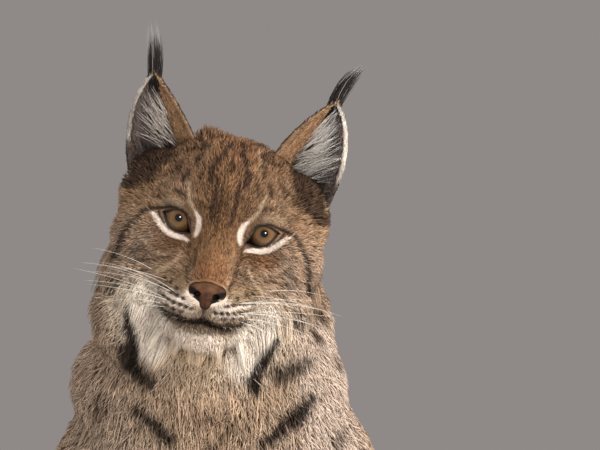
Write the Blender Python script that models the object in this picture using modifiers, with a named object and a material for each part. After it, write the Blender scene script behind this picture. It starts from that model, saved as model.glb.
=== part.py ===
# A Eurasian lynx sitting upright, life size, as a still museum model.
# Metres, +Z up. The lynx faces -Y, its left side is +X, and it sits on z = 0.
# The origin is on the floor, on the flat under the haunches, in the body's mid plane.
# All forms are the outer ones, out to the tips of the coat. Their places are given from a
# point on the floor between the fore and hind feet, and the finished nodes are moved back
# from there, so that the seat holds the origin.

import math

import bmesh
import bpy
from mathutils import Matrix, Vector
from mathutils.bvhtree import BVHTree

# Driving sizes
MM = 0.001
GAP = 0.3 * MM
GROW = 0.6 * MM  # a corner moved this far along its normal shifts its faces by about GAP

SEAT_Y = 0.205  # how far behind that point the middle of the seat is

# The head's frame: its origin is midway between the eyes. Head sizes are in millimetres
# as (to the lynx's left, forwards, up).
HEAD_AT = Vector((0.006, -0.235, 0.720))
HEAD_ROLL = math.radians(10.6)
HEAD_FRAME = Matrix.Translation(HEAD_AT) @ Matrix.Rotation(HEAD_ROLL, 4, "Y")

EYE_SIDE = 33.5
EYE_RADIUS = 14.0
LID_RADIUS = 16.2
CORNEA_BULGE = 1.2
CORNEA_EDGE = 0.75  # the bulge starts at this cosine off the eye's axis

# Colours from the photograph, as linear RGB
COAT = (0.30, 0.19, 0.11)
COAT_PALE = (0.62, 0.53, 0.42)
COAT_BLACK = (0.02, 0.016, 0.014)
NOSE_SKIN = (0.20, 0.08, 0.05)
IRIS = (0.16, 0.12, 0.05)

# Head forms, each (centre, radii). A pair is mirrored to the other side.
HEAD_BALLS = {
    "cranium": ((0, -40, 16), (68, 60, 58)),
    "crown_side": ((-19, -32, 48), (24, 24, 29)),
    "forehead": ((0, -6, 22), (46, 30, 42)),
    "midface": ((0, 0, -20), (50, 20, 38)),
    "muzzle": ((0, 30, -54), (28, 29, 22)),
    "jaw": ((0, 8, -74), (36, 34, 22)),
    "chin": ((0, 34, -83), (20, 18, 15)),
    "throat": ((0, -22, -76), (54, 42, 32)),
}
HEAD_PAIRS = {
    "temple": ((52, -32, 14), (32, 38, 40)),
    "brow": ((30, 6, 21), (21, 15, 13)),
    "whisker_pad": ((15, 38, -59), (21, 21, 17)),
    "cheek_front": ((28, 10, -34), (26, 22, 26)),
    "cheekbone": ((53, -16, -16), (31, 35, 35)),
    "jowl": ((50, -22, -50), (34, 38, 36)),
    "lid": ((EYE_SIDE, 0, 0), (LID_RADIUS, LID_RADIUS, LID_RADIUS)),
    "ruff": ((54, -20, -76), (34, 30, 38)),
}
BRIDGE = ((0, 13, 6), 15, (0, 42, -38), 13)

NOSE_BALLS = {
    "pad": ((0, 50, -50), (13, 11, 9.5)),
    "tip": ((0, 50, -57), (6, 9, 6.5)),
}
NOSE_PAIRS = {"wing": ((8.5, 49.5, -49.5), (6.5, 10, 7))}
NOSTRIL = ((7.2, 60, -51.5), (3.0, 5.0, 2.4))

# The opening between the lids, seen from the front: inner corner, top, outer corner, bottom
LID_OPENING = ((21.5, -7.2), (31.0, 8.2), (46.5, 5.2), (34.0, -8.2))
LID_STEPS = 4
LID_CUT_HALF = 15 * MM
# The mouth line, seen from the front: middle and corner
MOUTH_MIDDLE = (0.0, -72.5)
MOUTH_CORNER = (35.0, -66.0)
LIP_GROOVE = 1.5
IN_FRONT = 120  # a ray from here meets the face from the front
LIP_STEP = 6
JAW_STEP = 7
JAW_BACK = 14
JAW_FRONT = 90
JAW_FLOOR = -125

# Ear edges in the head's frame as curves from the root to the tip, and how deep the cup is. The
# inner edge of the right ear is the straighter one.
EAR_INNER_ROOT = (27, -26, 56)
EAR_INNER_HANDLES = {1: (42, -20, 92), -1: (47, -20, 88)}
EAR_OUTER_ROOT = (71, -22, 14)
EAR_OUTER_HANDLE = (98, -14, 74)
EAR_TIPS = {1: (71, -22, 114), -1: (73, -22, 111)}
EAR_CUP = 34
EAR_CUP_POWER = 0.6
EAR_WALL = 5.0
EAR_TOP = 0.985
EAR_ROWS = 7
EAR_COLUMNS = 5
EAR_TUFT_ROOTS = {1: (70, -25, 104), -1: (72, -25, 101)}
EAR_TUFT_TIPS = {1: (85, -26, 146), -1: (82, -26, 153)}
EAR_TUFT_BOWS = {1: (-7, 0, 5), -1: (-3, 0, 1)}  # how far a tuft bends half way
EAR_TUFT_LOCKS = 5
EAR_TUFT_WIDTH = 8.0
EAR_TUFT_SPREAD = (3.4, 3.4, 2.0)  # how far the locks stand apart at the root, half way and the tip
EAR_TUFT_STEP = 0.10  # each second and third lock is this much shorter than the one before

LOCK_SUNK = 7 * MM
LOCK_NUDGE = 0.02  # a lock's direction is taken between places this share before and after
# How wide and thick a lock is as shares of its full width, at these shares of its length
LOCK_STEPS = (0.0, 0.4, 0.75, 1.0)
LOCK_WIDTHS = (0.80, 1.0, 0.72, 0.05)
LOCK_THICKNESS = 0.34
LOCK_LIFT = 7 * MM
LOCK_HANDLE = 0.45  # how far along a lock its handle is
LOCK_BOW = 1.3  # how far a body lock bows out, as a share of its lift
LOCK_SPREAD = 0.12  # each second lock of a row is this much longer

# Rows of locks on the head, mirrored: curves of roots and of tips in the head's frame, how many,
# width, and how far each lock bows out
HEAD_LOCK_ROWS = {
    "ruff": (
        ((74, -14, -26), (66, -2, -66), (26, 12, -92)),
        ((86, -26, -60), (78, -10, -112), (32, 4, -121)), 8, 19, 7,
    ),
    "ruff_back": (
        ((80, -34, -20), (80, -32, -60), (50, -14, -96)),
        ((88, -50, -56), (92, -36, -112), (56, -16, -126)), 7, 21, 6,
    ),
    "cheek": (
        ((68, 2, -40), (54, 10, -62), (34, 14, -80)),
        ((78, -8, -72), (64, 6, -92), (38, 10, -108)), 4, 17, 6,
    ),
}
BEARD_LOCKS = (
    ((-15, 34, -86), (0, 42, -92), (15, 34, -86)),
    ((-17, 26, -106), (0, 34, -112), (17, 26, -106)), 3, 15, 4,
)

# Rows of locks on the body: (node, roots from and to, how many, lie, length, width). Roots are
# given near the surface and drawn onto it. A row with a side of its own is mirrored.
BODY_LOCK_ROWS = {
    "throat": ("neck", ((-0.066, -0.262, 0.592), (0.066, -0.262, 0.592)), 5, (0, -0.1, -1), 0.060, 0.027),
    "bib_top": ("neck", ((-0.084, -0.262, 0.556), (0.084, -0.262, 0.556)), 6, (0, -0.1, -1), 0.058, 0.028),
    "bib_upper": ("chest", ((-0.066, -0.270, 0.492), (0.066, -0.270, 0.492)), 5, (0, 0, -1), 0.066, 0.028),
    "bib_middle": ("chest", ((-0.052, -0.270, 0.454), (0.052, -0.270, 0.454)), 4, (0, 0, -1), 0.068, 0.029),
    "bib_low": ("chest", ((-0.060, -0.270, 0.414), (0.060, -0.270, 0.414)), 5, (0, 0, -1), 0.066, 0.028),
    "bib_end": ("chest", ((-0.036, -0.250, 0.372), (0.036, -0.250, 0.372)), 3, (0, 0.1, -1), 0.070, 0.030),
}
BODY_LOCK_PAIRS = {
    "neck_side": (
        "neck", ((0.092, -0.215, 0.582), (0.112, -0.110, 0.566)), 3, (0.1, 0.25, -1), 0.060, 0.032,
    ),
    "elbow": (
        "shoulder", ((0.120, -0.066, 0.300), (0.126, -0.048, 0.345)), 2, (0.1, 0.35, -1), 0.048, 0.026,
    ),
}

# Body forms in metres: (centre, radii)
BODY_BALLS = {
    "breast": ((0, -0.150, 0.440), (0.095, 0.092, 0.120)),
    "withers": ((0, -0.045, 0.500), (0.088, 0.088, 0.060)),
    "nape": ((-0.004, -0.142, 0.595), (0.110, 0.084, 0.078)),
    "rump": ((0, 0.205, 0.120), (0.128, 0.110, 0.126)),
}
BODY_PAIRS = {
    "shoulder": ((0.082, -0.102, 0.450), (0.058, 0.090, 0.145)),
    "flank": ((0.042, 0.060, 0.300), (0.078, 0.108, 0.114)),
    "haunch": ((0.105, 0.120, 0.165), (0.068, 0.125, 0.118)),
    "knee": ((0.128, 0.005, 0.190), (0.046, 0.055, 0.062)),
}
# Tapered lengths: (start, radius, end, radius)
BODY_LIMBS = {
    "ribs": ((0, -0.100, 0.455), 0.116, (0, 0.050, 0.300), 0.124),
    "loin": ((0, 0.050, 0.300), 0.124, (0, 0.175, 0.150), 0.132),
    "neck": ((0, -0.092, 0.500), 0.124, (0.002, -0.158, 0.635), 0.093),
}
LIMB_PAIRS = {
    "upper_arm": ((0.092, -0.150, 0.420), 0.052, (0.086, -0.100, 0.305), 0.050),
    "forearm": ((0.086, -0.104, 0.305), 0.050, (0.074, -0.165, 0.085), 0.037),
    "wrist": ((0.074, -0.165, 0.085), 0.037, (0.073, -0.182, 0.032), 0.038),
    "shank": ((0.130, 0.010, 0.180), 0.052, (0.120, 0.190, 0.075), 0.045),
    "hock": ((0.122, 0.205, 0.048), 0.038, (0.130, 0.000, 0.036), 0.034),
    "instep": ((0.130, 0.000, 0.036), 0.034, (0.132, -0.040, 0.030), 0.034),
}
TAIL_LINE = (
    (0, 0.285, 0.080), (0.012, 0.335, 0.045), (0.055, 0.372, 0.034),
    (0.108, 0.378, 0.033), (0.150, 0.362, 0.032),
)
TAIL_RADII = (0.042, 0.037, 0.036, 0.035, 0.030)

FORE_PAW_AT = (0.073, -0.200, 0.0)
HIND_PAW_AT = (0.132, -0.052, 0.0)
PAW_BALLS = {
    "palm": ((0, 0.018, 0.028), (0.043, 0.046, 0.035)),
}
TOES = ((-0.0305, -0.014), (-0.0110, -0.032), (0.0115, -0.032), (0.0305, -0.014))
TOE_RADII = (0.0155, 0.026, 0.0205)
TOE_HEIGHT = 0.0185

# Where the whole body is parted, as outlines seen from the side (y, z), with x from and to
FORELEG_CUT = (
    (-0.32, -0.02), (-0.32, 0.33), (-0.195, 0.345), (-0.052, 0.215),
    (-0.052, 0.15), (-0.128, 0.06), (-0.128, -0.02),
)
FORELEG_X = (0.001, 0.30)
PAW_CUT_Z = 0.062
FORE_PAW_CUT = ((-0.32, -0.02), (-0.32, PAW_CUT_Z), (-0.125, PAW_CUT_Z + 0.004), (-0.125, -0.02))
HIND_PAW_CUT = ((-0.15, -0.02), (-0.15, 0.085), (-0.022, 0.085), (-0.022, -0.02))
HIND_PAW_X = (0.078, 0.30)
HIND_FOOT_CUT = ((-0.16, -0.02), (-0.16, 0.074), (0.10, 0.078), (0.27, 0.100), (0.27, -0.02))
HIND_FOOT_X = (0.084, 0.30)
THIGH_CUT = ((-0.12, 0.02), (-0.12, 0.24), (0.02, 0.32), (0.18, 0.32), (0.31, 0.18), (0.31, -0.02))
THIGH_X = (0.082, 0.30)
SHOULDER_CUT = ((-0.30, 0.20), (-0.30, 0.42), (-0.20, 0.56), (-0.03, 0.56), (0.02, 0.42), (-0.03, 0.20))
SHOULDER_X = (0.074, 0.30)
NECK_CUT = ((-0.40, 0.500), (-0.40, 1.0), (0.20, 1.0), (0.20, 0.610))
TAIL_CUT = ((0.300, -0.02), (0.300, 0.16), (0.50, 0.16), (0.50, -0.02))
TAIL_TIP_CUT_X = (0.098, 0.30)
CHEST_CUT = ((-0.40, 0.14), (-0.40, 0.70), (0.20, 0.70), (0.085, 0.47), (-0.055, 0.14))
FULL_WIDTH = (-0.50, 0.50)

# Each of these nodes is cut back from the locks of the other: (node, other)
LOCK_CLEARANCES = (
    ("head", "neck"), ("neck", "chest"), ("neck", "shoulder_left"), ("neck", "shoulder_right"),
    ("chest", "shoulder_left"), ("chest", "shoulder_right"),
)

# The head is parted from the neck by a plane, given in the head's frame
NECK_PLANE_AT = (0, -2, -96)
NECK_PLANE_OUT = (0, 0.70, 0.71)

# How each form is fused: voxel, rounds of smoothing, triangles. A round moves each point this
# share of the way.
SMOOTH_FACTOR = 0.5
HEAD_FUSING = (3.2 * MM, 9, 2250)
BODY_FUSING = (6.5 * MM, 12, 3000)
PAW_FUSING = (3.0 * MM, 2, 250)
NOSE_FUSING = (1.0 * MM, 4, 300)


def clear_scene():
    for obj in list(bpy.data.objects):
        bpy.data.objects.remove(obj)


def make_collection(name, shown=True):
    found = bpy.data.collections.new(name)
    bpy.context.scene.collection.children.link(found)
    found.hide_render = not shown
    return found


def make_material(name, colour, roughness):
    made = bpy.data.materials.new(name)
    made.use_nodes = True
    shader = made.node_tree.nodes["Principled BSDF"]
    shader.inputs["Base Color"].default_value = (*colour, 1)
    shader.inputs["Roughness"].default_value = roughness
    shader.inputs["Metallic"].default_value = 0.0
    made.diffuse_color = (*colour, 1)
    return made


def object_of(name, bm, collection):
    mesh = bpy.data.meshes.new(name)
    bm.to_mesh(mesh)
    bm.free()
    made = bpy.data.objects.new(name, mesh)
    collection.objects.link(made)
    return made


def mirrored(point):
    return (-point[0], point[1], point[2])


def head_point(point):
    """A point of the head's frame, in millimetres, in the lynx's own frame."""
    side, front, up = point
    return HEAD_FRAME @ Vector((side * MM, -front * MM, up * MM))


def head_direction(direction):
    side, front, up = direction
    return (HEAD_FRAME.to_3x3() @ Vector((side, -front, up))).normalized()


def add_ball(bm, centre, radii, frame=None, segments=20):
    """An ellipsoid. With a frame, its sizes are the head's."""
    if frame is None:
        place = Matrix.Translation(centre) @ Matrix.Diagonal((*radii, 1))
    else:
        side, front, up = centre
        size = (radii[0] * MM, radii[1] * MM, radii[2] * MM, 1)
        place = frame @ Matrix.Translation((side * MM, -front * MM, up * MM)) @ Matrix.Diagonal(size)
    bmesh.ops.create_uvsphere(bm, u_segments=segments, v_segments=segments // 2, radius=1, matrix=place)


def add_limb(bm, start, start_radius, end, end_radius):
    """A tapered length with round ends."""
    start, end = Vector(start), Vector(end)
    along = end - start
    turn = along.to_track_quat("Z", "Y").to_matrix().to_4x4()
    bmesh.ops.create_cone(
        bm, cap_ends=True, segments=20, radius1=start_radius, radius2=end_radius, depth=along.length,
        matrix=Matrix.Translation((start + end) / 2) @ turn,
    )
    for centre, radius in ((start, start_radius), (end, end_radius)):
        add_ball(bm, centre, (radius, radius, radius))


def applied(obj):
    """Gives the object the mesh that its modifiers make."""
    graph = bpy.context.evaluated_depsgraph_get()
    graph.update()
    mesh = bpy.data.meshes.new_from_object(obj.evaluated_get(graph))
    old = obj.data
    obj.modifiers.clear()
    obj.data = mesh
    bpy.data.meshes.remove(old)
    return obj


def triangle_count(mesh):
    return sum(len(face.vertices) - 2 for face in mesh.polygons)


def fuse(obj, voxel, rounds, triangles):
    """Makes one smooth closed surface from overlapping forms."""
    remesh = obj.modifiers.new("fuse", "REMESH")
    remesh.mode = "VOXEL"
    remesh.voxel_size = voxel
    smooth = obj.modifiers.new("soften", "SMOOTH")
    smooth.factor = SMOOTH_FACTOR
    smooth.iterations = rounds
    applied(obj)
    thin = obj.modifiers.new("thin", "DECIMATE")
    thin.ratio = min(1, triangles / triangle_count(obj.data))
    thin.use_collapse_triangulate = True
    return applied(obj)


def cut(obj, operation, other, solver="EXACT"):
    step = obj.modifiers.new(operation.lower(), "BOOLEAN")
    step.operation = operation
    step.solver = solver
    step.object = other
    return applied(obj)


def keep_largest(obj):
    """Keeps the closed surface that holds the most, and drops scraps."""
    bm = bmesh.new()
    bm.from_mesh(obj.data)
    groups = []
    unseen = set(bm.faces)
    while unseen:
        group = [unseen.pop()]
        for face in group:
            near = {other for edge in face.edges for other in edge.link_faces} & unseen
            unseen -= near
            group.extend(near)
        groups.append(group)
    if len(groups) > 1:
        groups.sort(key=lambda group: sum(face.calc_area() for face in group))
        for group in groups[:-1]:
            bmesh.ops.delete(bm, geom=group, context="FACES")
        bm.to_mesh(obj.data)
    bm.free()
    return obj


def copy_of(obj, name, collection):
    made = obj.copy()
    made.data = obj.data.copy()
    made.name = name
    collection.objects.link(made)
    return made


def grown(obj, collection, by=GROW):
    """A copy of the object with its surface moved out, for cutting its neighbours clear."""
    made = copy_of(obj, obj.name + "_grown", collection)
    displace = made.modifiers.new("grow", "DISPLACE")
    displace.mid_level = 0
    displace.strength = by
    return applied(made)


def clear_of(obj, other, tools, by=GAP * 1.4):
    """Cuts the object back so that it stays clear of another."""
    cutter = grown(other, tools, by)
    cut(obj, "DIFFERENCE", cutter, "MANIFOLD")  # EXACT loses the piece where the grown surface folds
    bpy.data.objects.remove(cutter)
    return keep_largest(obj)


def prism(name, outline, x_range, tools):
    """A block whose outline is given from the side as (y, z), between two values of x."""
    curve = bpy.data.curves.new(name, "CURVE")
    curve.dimensions = "2D"
    curve.fill_mode = "BOTH"
    curve.extrude = (x_range[1] - x_range[0]) / 2
    spline = curve.splines.new("POLY")
    spline.points.add(len(outline) - 1)
    for point, (y, z) in zip(spline.points, outline):
        point.co = (y, z, 0, 1)
    spline.use_cyclic_u = True
    flat = bpy.data.objects.new(name, curve)
    # The curve's own x, y and z become y, z and x.
    turn = Matrix(((0, 0, 1, 0), (1, 0, 0, 0), (0, 1, 0, 0), (0, 0, 0, 1)))
    flat.matrix_world = Matrix.Translation((sum(x_range) / 2, 0, 0)) @ turn
    return solid_from_curve(flat, tools)


def solid_from_curve(flat, tools):
    """The closed mesh of a curve object, which is removed."""
    tools.objects.link(flat)
    bpy.context.view_layer.update()
    graph = bpy.context.evaluated_depsgraph_get()
    mesh = bpy.data.meshes.new_from_object(flat.evaluated_get(graph))
    mesh.transform(flat.matrix_world)
    bm = bmesh.new()
    bm.from_mesh(mesh)
    bmesh.ops.remove_doubles(bm, verts=bm.verts, dist=0.00001)
    bmesh.ops.recalc_face_normals(bm, faces=bm.faces)
    bm.to_mesh(mesh)
    bm.free()
    made = bpy.data.objects.new(flat.name + "_solid", mesh)
    tools.objects.link(made)
    bpy.data.objects.remove(flat)
    return made


def part_off(whole, name, cutter, nodes, tools):
    """Takes the piece inside the cutter off the whole, with a thin gap, as a node of its own."""
    piece = copy_of(whole, name, nodes)
    cut(piece, "INTERSECT", cutter)
    keep_largest(piece)
    wider = grown(cutter, tools)
    cut(whole, "DIFFERENCE", wider)
    keep_largest(whole)
    bpy.data.objects.remove(wider)
    bpy.data.objects.remove(cutter)
    return piece


def flip(x_range, side):
    return x_range if side > 0 else (-x_range[1], -x_range[0])


def floor_block(tools):
    bm = bmesh.new()
    bmesh.ops.create_cube(bm, size=2, matrix=Matrix.Translation((0, 0, -1)))
    return object_of("floor", bm, tools)


def make_paw(name, at, side, tools):
    """A broad furred foot with four toes, flat where it stands."""
    bm = bmesh.new()
    base = Vector((at[0] * side, at[1], at[2]))
    for centre, radii in PAW_BALLS.values():
        add_ball(bm, base + Vector((centre[0] * side, centre[1], centre[2])), radii)
    for across, along in TOES:
        add_ball(bm, base + Vector((across * side, along, TOE_HEIGHT)), TOE_RADII)
    return fuse(object_of(name, bm, tools), *PAW_FUSING)


def make_body(tools):
    """Neck, trunk, legs and tail as one smooth form."""
    bm = bmesh.new()
    for centre, radii in BODY_BALLS.values():
        add_ball(bm, centre, radii)
    for centre, radii in BODY_PAIRS.values():
        add_ball(bm, centre, radii)
        add_ball(bm, mirrored(centre), radii)
    for start, start_radius, end, end_radius in BODY_LIMBS.values():
        add_limb(bm, start, start_radius, end, end_radius)
    for start, start_radius, end, end_radius in LIMB_PAIRS.values():
        add_limb(bm, start, start_radius, end, end_radius)
        add_limb(bm, mirrored(start), start_radius, mirrored(end), end_radius)
    for i in range(len(TAIL_LINE) - 1):
        add_limb(bm, TAIL_LINE[i], TAIL_RADII[i], TAIL_LINE[i + 1], TAIL_RADII[i + 1])
    return fuse(object_of("body", bm, tools), *BODY_FUSING)


def make_head(tools):
    bm = bmesh.new()
    for centre, radii in HEAD_BALLS.values():
        add_ball(bm, centre, radii, HEAD_FRAME)
    for centre, radii in HEAD_PAIRS.values():
        add_ball(bm, centre, radii, HEAD_FRAME)
        add_ball(bm, mirrored(centre), radii, HEAD_FRAME)
    start, start_radius, end, end_radius = BRIDGE
    add_limb(bm, head_point(start), start_radius * MM, head_point(end), end_radius * MM)
    return fuse(object_of("head", bm, tools), *HEAD_FUSING)


def make_nose(nodes, tools):
    bm = bmesh.new()
    for centre, radii in NOSE_BALLS.values():
        add_ball(bm, centre, radii, HEAD_FRAME)
    for centre, radii in NOSE_PAIRS.values():
        add_ball(bm, centre, radii, HEAD_FRAME)
        add_ball(bm, mirrored(centre), radii, HEAD_FRAME)
    nose = fuse(object_of("nose", bm, nodes), *NOSE_FUSING)
    centre, radii = NOSTRIL
    for place in (centre, mirrored(centre)):
        bm = bmesh.new()
        add_ball(bm, place, radii, HEAD_FRAME, 12)
        pit = object_of("nostril", bm, tools)
        cut(nose, "DIFFERENCE", pit)
        bpy.data.objects.remove(pit)
    return keep_largest(nose)


def make_eye(name, side, nodes):
    """The ball of the eye, with the cornea a little proud."""
    bm = bmesh.new()
    radius = (EYE_RADIUS,) * 3
    add_ball(bm, (EYE_SIDE * side, 0, 0), radius, HEAD_FRAME, 16)
    centre = head_point((EYE_SIDE * side, 0, 0))
    front = head_direction((0, 1, 0))
    for vertex in bm.verts:
        out = (vertex.co - centre).normalized()
        share = max(0.0, out.dot(front) - CORNEA_EDGE) / (1 - CORNEA_EDGE)
        vertex.co += out * (CORNEA_BULGE * MM * share)
    return object_of(name, bm, nodes)


def lid_cutter(side, tools):
    """The almond between the lids, run forwards through them."""
    curve = bpy.data.curves.new("lids", "CURVE")
    curve.dimensions = "2D"
    curve.fill_mode = "BOTH"
    curve.extrude = LID_CUT_HALF
    curve.resolution_u = LID_STEPS
    spline = curve.splines.new("BEZIER")
    spline.bezier_points.add(len(LID_OPENING) - 1)
    for point, (across, up) in zip(spline.bezier_points, LID_OPENING):
        point.co = (across * side * MM, up * MM, 0)
    inner, top, outer, bottom = spline.bezier_points
    for point in (top, bottom):
        point.handle_left_type = point.handle_right_type = "AUTO"
    for point in (inner, outer):
        point.handle_left_type = point.handle_right_type = "VECTOR"
    spline.use_cyclic_u = True
    flat = bpy.data.objects.new("lids", curve)
    # The curve's own x and y become the head's side and up.
    turn = Matrix(((1, 0, 0, 0), (0, 0, -1, 0), (0, 1, 0, 0), (0, 0, 0, 1)))
    flat.matrix_world = HEAD_FRAME @ Matrix.Translation((0, -LID_CUT_HALF, 0)) @ turn
    return solid_from_curve(flat, tools)


def mouth_height(across):
    """The mouth line's height over the face, rising to the corners."""
    share = min(1.0, abs(across) / MOUTH_CORNER[0])
    return MOUTH_MIDDLE[1] + (MOUTH_CORNER[1] - MOUTH_MIDDLE[1]) * share ** 2


def surface_tree(obj):
    return BVHTree.FromObject(obj, bpy.context.evaluated_depsgraph_get())


def surface_front(tree, across, up):
    """The head's surface seen from the front at one place, or None."""
    hit = tree.ray_cast(head_point((across, IN_FRONT, up)), head_direction((0, -1, 0)))
    return hit[0]


def lip_cutter(head, tools):
    """A groove along the mouth line."""
    tree = surface_tree(head)
    edge = int(MOUTH_CORNER[0]) + 1
    places = [surface_front(tree, x, mouth_height(x)) for x in range(-edge, edge + 1, LIP_STEP)]
    curve = bpy.data.curves.new("lips", "CURVE")
    curve.dimensions = "3D"
    curve.bevel_depth = LIP_GROOVE * MM
    curve.bevel_resolution = 1
    curve.use_fill_caps = True
    spline = curve.splines.new("POLY")
    places = [place for place in places if place]
    spline.points.add(len(places) - 1)
    for point, place in zip(spline.points, places):
        point.co = (*place, 1)
    return solid_from_curve(bpy.data.objects.new("lips", curve), tools)


def jaw_cutter(tools):
    """The block below the mouth line, run from the lips to the back of the jaw."""
    edge = MOUTH_CORNER[0]
    top = [(x, mouth_height(x)) for x in range(-int(edge), int(edge) + 1, JAW_STEP)]
    outline = [*top, (edge, JAW_FLOOR), (-edge, JAW_FLOOR)]
    curve = bpy.data.curves.new("jaw", "CURVE")
    curve.dimensions = "2D"
    curve.fill_mode = "BOTH"
    curve.extrude = (JAW_FRONT - JAW_BACK) / 2 * MM
    spline = curve.splines.new("POLY")
    spline.points.add(len(outline) - 1)
    for point, (across, up) in zip(spline.points, outline):
        point.co = (across * MM, up * MM, 0, 1)
    spline.use_cyclic_u = True
    flat = bpy.data.objects.new("jaw_block", curve)
    turn = Matrix(((1, 0, 0, 0), (0, 0, -1, 0), (0, 1, 0, 0), (0, 0, 0, 1)))
    flat.matrix_world = HEAD_FRAME @ Matrix.Translation((0, -(JAW_FRONT + JAW_BACK) / 2 * MM, 0)) @ turn
    return solid_from_curve(flat, tools)


def curve_point(three, share):
    """A point of the curve through a start, a handle and an end."""
    start, handle, end = (Vector(point) for point in three)
    return start * (1 - share) ** 2 + handle * 2 * share * (1 - share) + end * share ** 2


def make_ear(name, side, nodes):
    """A cupped leaf between its inner and outer edge, with a wall."""
    bm = bmesh.new()
    bmesh.ops.create_grid(bm, x_segments=EAR_COLUMNS, y_segments=EAR_ROWS, size=1)
    for vertex in bm.verts:
        across, height = vertex.co.x, EAR_TOP * (vertex.co.y + 1) / 2
        inner = curve_point((EAR_INNER_ROOT, EAR_INNER_HANDLES[side], EAR_TIPS[side]), height)
        outer = curve_point((EAR_OUTER_ROOT, EAR_OUTER_HANDLE, EAR_TIPS[side]), height)
        place = inner.lerp(outer, (across + 1) / 2)
        place.y -= EAR_CUP * (1 - height) ** EAR_CUP_POWER * (1 - across ** 2)
        vertex.co = head_point((place.x * side, place.y, place.z))
    bmesh.ops.recalc_face_normals(bm, faces=bm.faces)
    ear = object_of(name, bm, nodes)
    wall = ear.modifiers.new("wall", "SOLIDIFY")
    wall.thickness = EAR_WALL * MM
    wall.offset = 0
    return applied(ear)


def make_lock(three, width, out, locks):
    """One flat tapered lock along a root, a handle and a tip. Out is away from the skin."""
    bm = bmesh.new()
    steps = len(LOCK_STEPS) - 1
    bmesh.ops.create_cone(bm, cap_ends=True, segments=3, radius1=1, radius2=1, depth=1)
    lengths = [edge for edge in bm.edges if abs(edge.verts[0].co.z - edge.verts[1].co.z) > 0.5]
    bmesh.ops.subdivide_edges(bm, edges=lengths, cuts=steps - 1)
    for vertex in bm.verts:
        step = round((vertex.co.z + 0.5) * steps)
        share, wide = LOCK_STEPS[step], LOCK_WIDTHS[step] * width / 2
        ahead = curve_point(three, min(1, share + LOCK_NUDGE)) - curve_point(three, share - LOCK_NUDGE)
        side = out.cross(ahead).normalized()
        rise = ahead.cross(side).normalized()
        flat = vertex.co.x * side + vertex.co.y * LOCK_THICKNESS * rise
        vertex.co = curve_point(three, share) + flat * wide
    return object_of("lock", bm, locks)


def row_places(curves, count):
    """Pairs of root and tip, spread along a row's two curves."""
    roots, tips = curves
    for i in range(count):
        share = i / (count - 1)
        yield curve_point(roots, share), curve_point(tips, share)


def grow_lock(tree, root, tip, width, bow, locks):
    """A lock from the surface nearest to its root, sunk into it, out to its tip."""
    skin, out = tree.find_nearest(root)[:2]
    if (tip - skin).dot(out) < 0:
        tip = tip + out * (-(tip - skin).dot(out))
    start = skin - out * LOCK_SUNK
    handle = skin.lerp(tip, LOCK_HANDLE) + out * bow
    make_lock((start, handle, tip), width, out, locks)


def add_head_locks(head, locks):
    tree = surface_tree(head)
    for curves in HEAD_LOCK_ROWS.values():
        roots, tips, count, width, bow = curves
        for side in (1, -1):
            for root, tip in row_places((roots, tips), count):
                root.x, tip.x = root.x * side, tip.x * side
                grow_lock(tree, head_point(root), head_point(tip), width * MM, bow * MM, locks)


def add_beard(jaw, locks):
    tree = surface_tree(jaw)
    roots, tips, count, width, bow = BEARD_LOCKS
    for root, tip in row_places((roots, tips), count):
        grow_lock(tree, head_point(root), head_point(tip), width * MM, bow * MM, locks)


def add_ear_tuft(side, locks):
    """Black locks that stand up from the ear's tip and lean together."""
    at_root, half_way, at_tip = EAR_TUFT_SPREAD
    for i in range(EAR_TUFT_LOCKS):
        turn = 2 * math.pi * i / EAR_TUFT_LOCKS
        spread = Vector((math.cos(turn), math.sin(turn), 0))
        root = Vector(EAR_TUFT_ROOTS[side]) + spread * at_root
        reach = 1 - EAR_TUFT_STEP * (i % 3)
        tip = root.lerp(Vector(EAR_TUFT_TIPS[side]) + spread * at_tip, reach)
        handle = root.lerp(tip, 0.5) + spread * half_way + Vector(EAR_TUFT_BOWS[side])
        three = [head_point((p.x * side, p.y, p.z)) for p in (root, handle, tip)]
        out = head_direction((spread.x * side, spread.y, 0))
        make_lock(three, EAR_TUFT_WIDTH * MM, out, locks)


def add_row(tree, row, side, locks):
    """A row of locks that lie over the body, each tip a little off the surface."""
    ends, count, lie, length, width = row[1:]
    start, end = (Vector((p[0] * side, p[1], p[2])) for p in ends)
    lie = Vector((lie[0] * side, lie[1], lie[2])).normalized()
    for i in range(count):
        skin, out = tree.find_nearest(start.lerp(end, i / (count - 1)))[:2]
        reach = length * (1 + LOCK_SPREAD * (i % 2))
        over, over_out = tree.find_nearest(skin + lie * reach)[:2]
        tip = over + over_out * LOCK_LIFT
        handle = skin.lerp(tip, LOCK_HANDLE) + out * LOCK_LIFT * LOCK_BOW
        make_lock((skin - out * LOCK_SUNK, handle, tip), width, out, locks)


def join_locks(node, locks):
    """Fuses a node's locks to it, in one step."""
    step = node.modifiers.new("locks", "BOOLEAN")
    step.operation = "UNION"
    step.operand_type = "COLLECTION"
    step.collection = locks
    step.solver = "EXACT"
    applied(node)
    for lock in list(locks.objects):
        bpy.data.objects.remove(lock)
    return keep_largest(node)


def neck_block(tools, keep_head):
    """A block on one side of the plane between the head and the neck."""
    out = head_direction(NECK_PLANE_OUT)
    at = head_point(NECK_PLANE_AT) + out * (GAP / 2 if keep_head else -GAP / 2)
    turn = out.to_track_quat("Z", "Y").to_matrix().to_4x4()
    reach = 1.0
    shift = reach / 2 if keep_head else -reach / 2
    bm = bmesh.new()
    bmesh.ops.create_cube(bm, size=reach, matrix=Matrix.Translation(at + out * shift) @ turn)
    return object_of("neck_plane", bm, tools)


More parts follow.
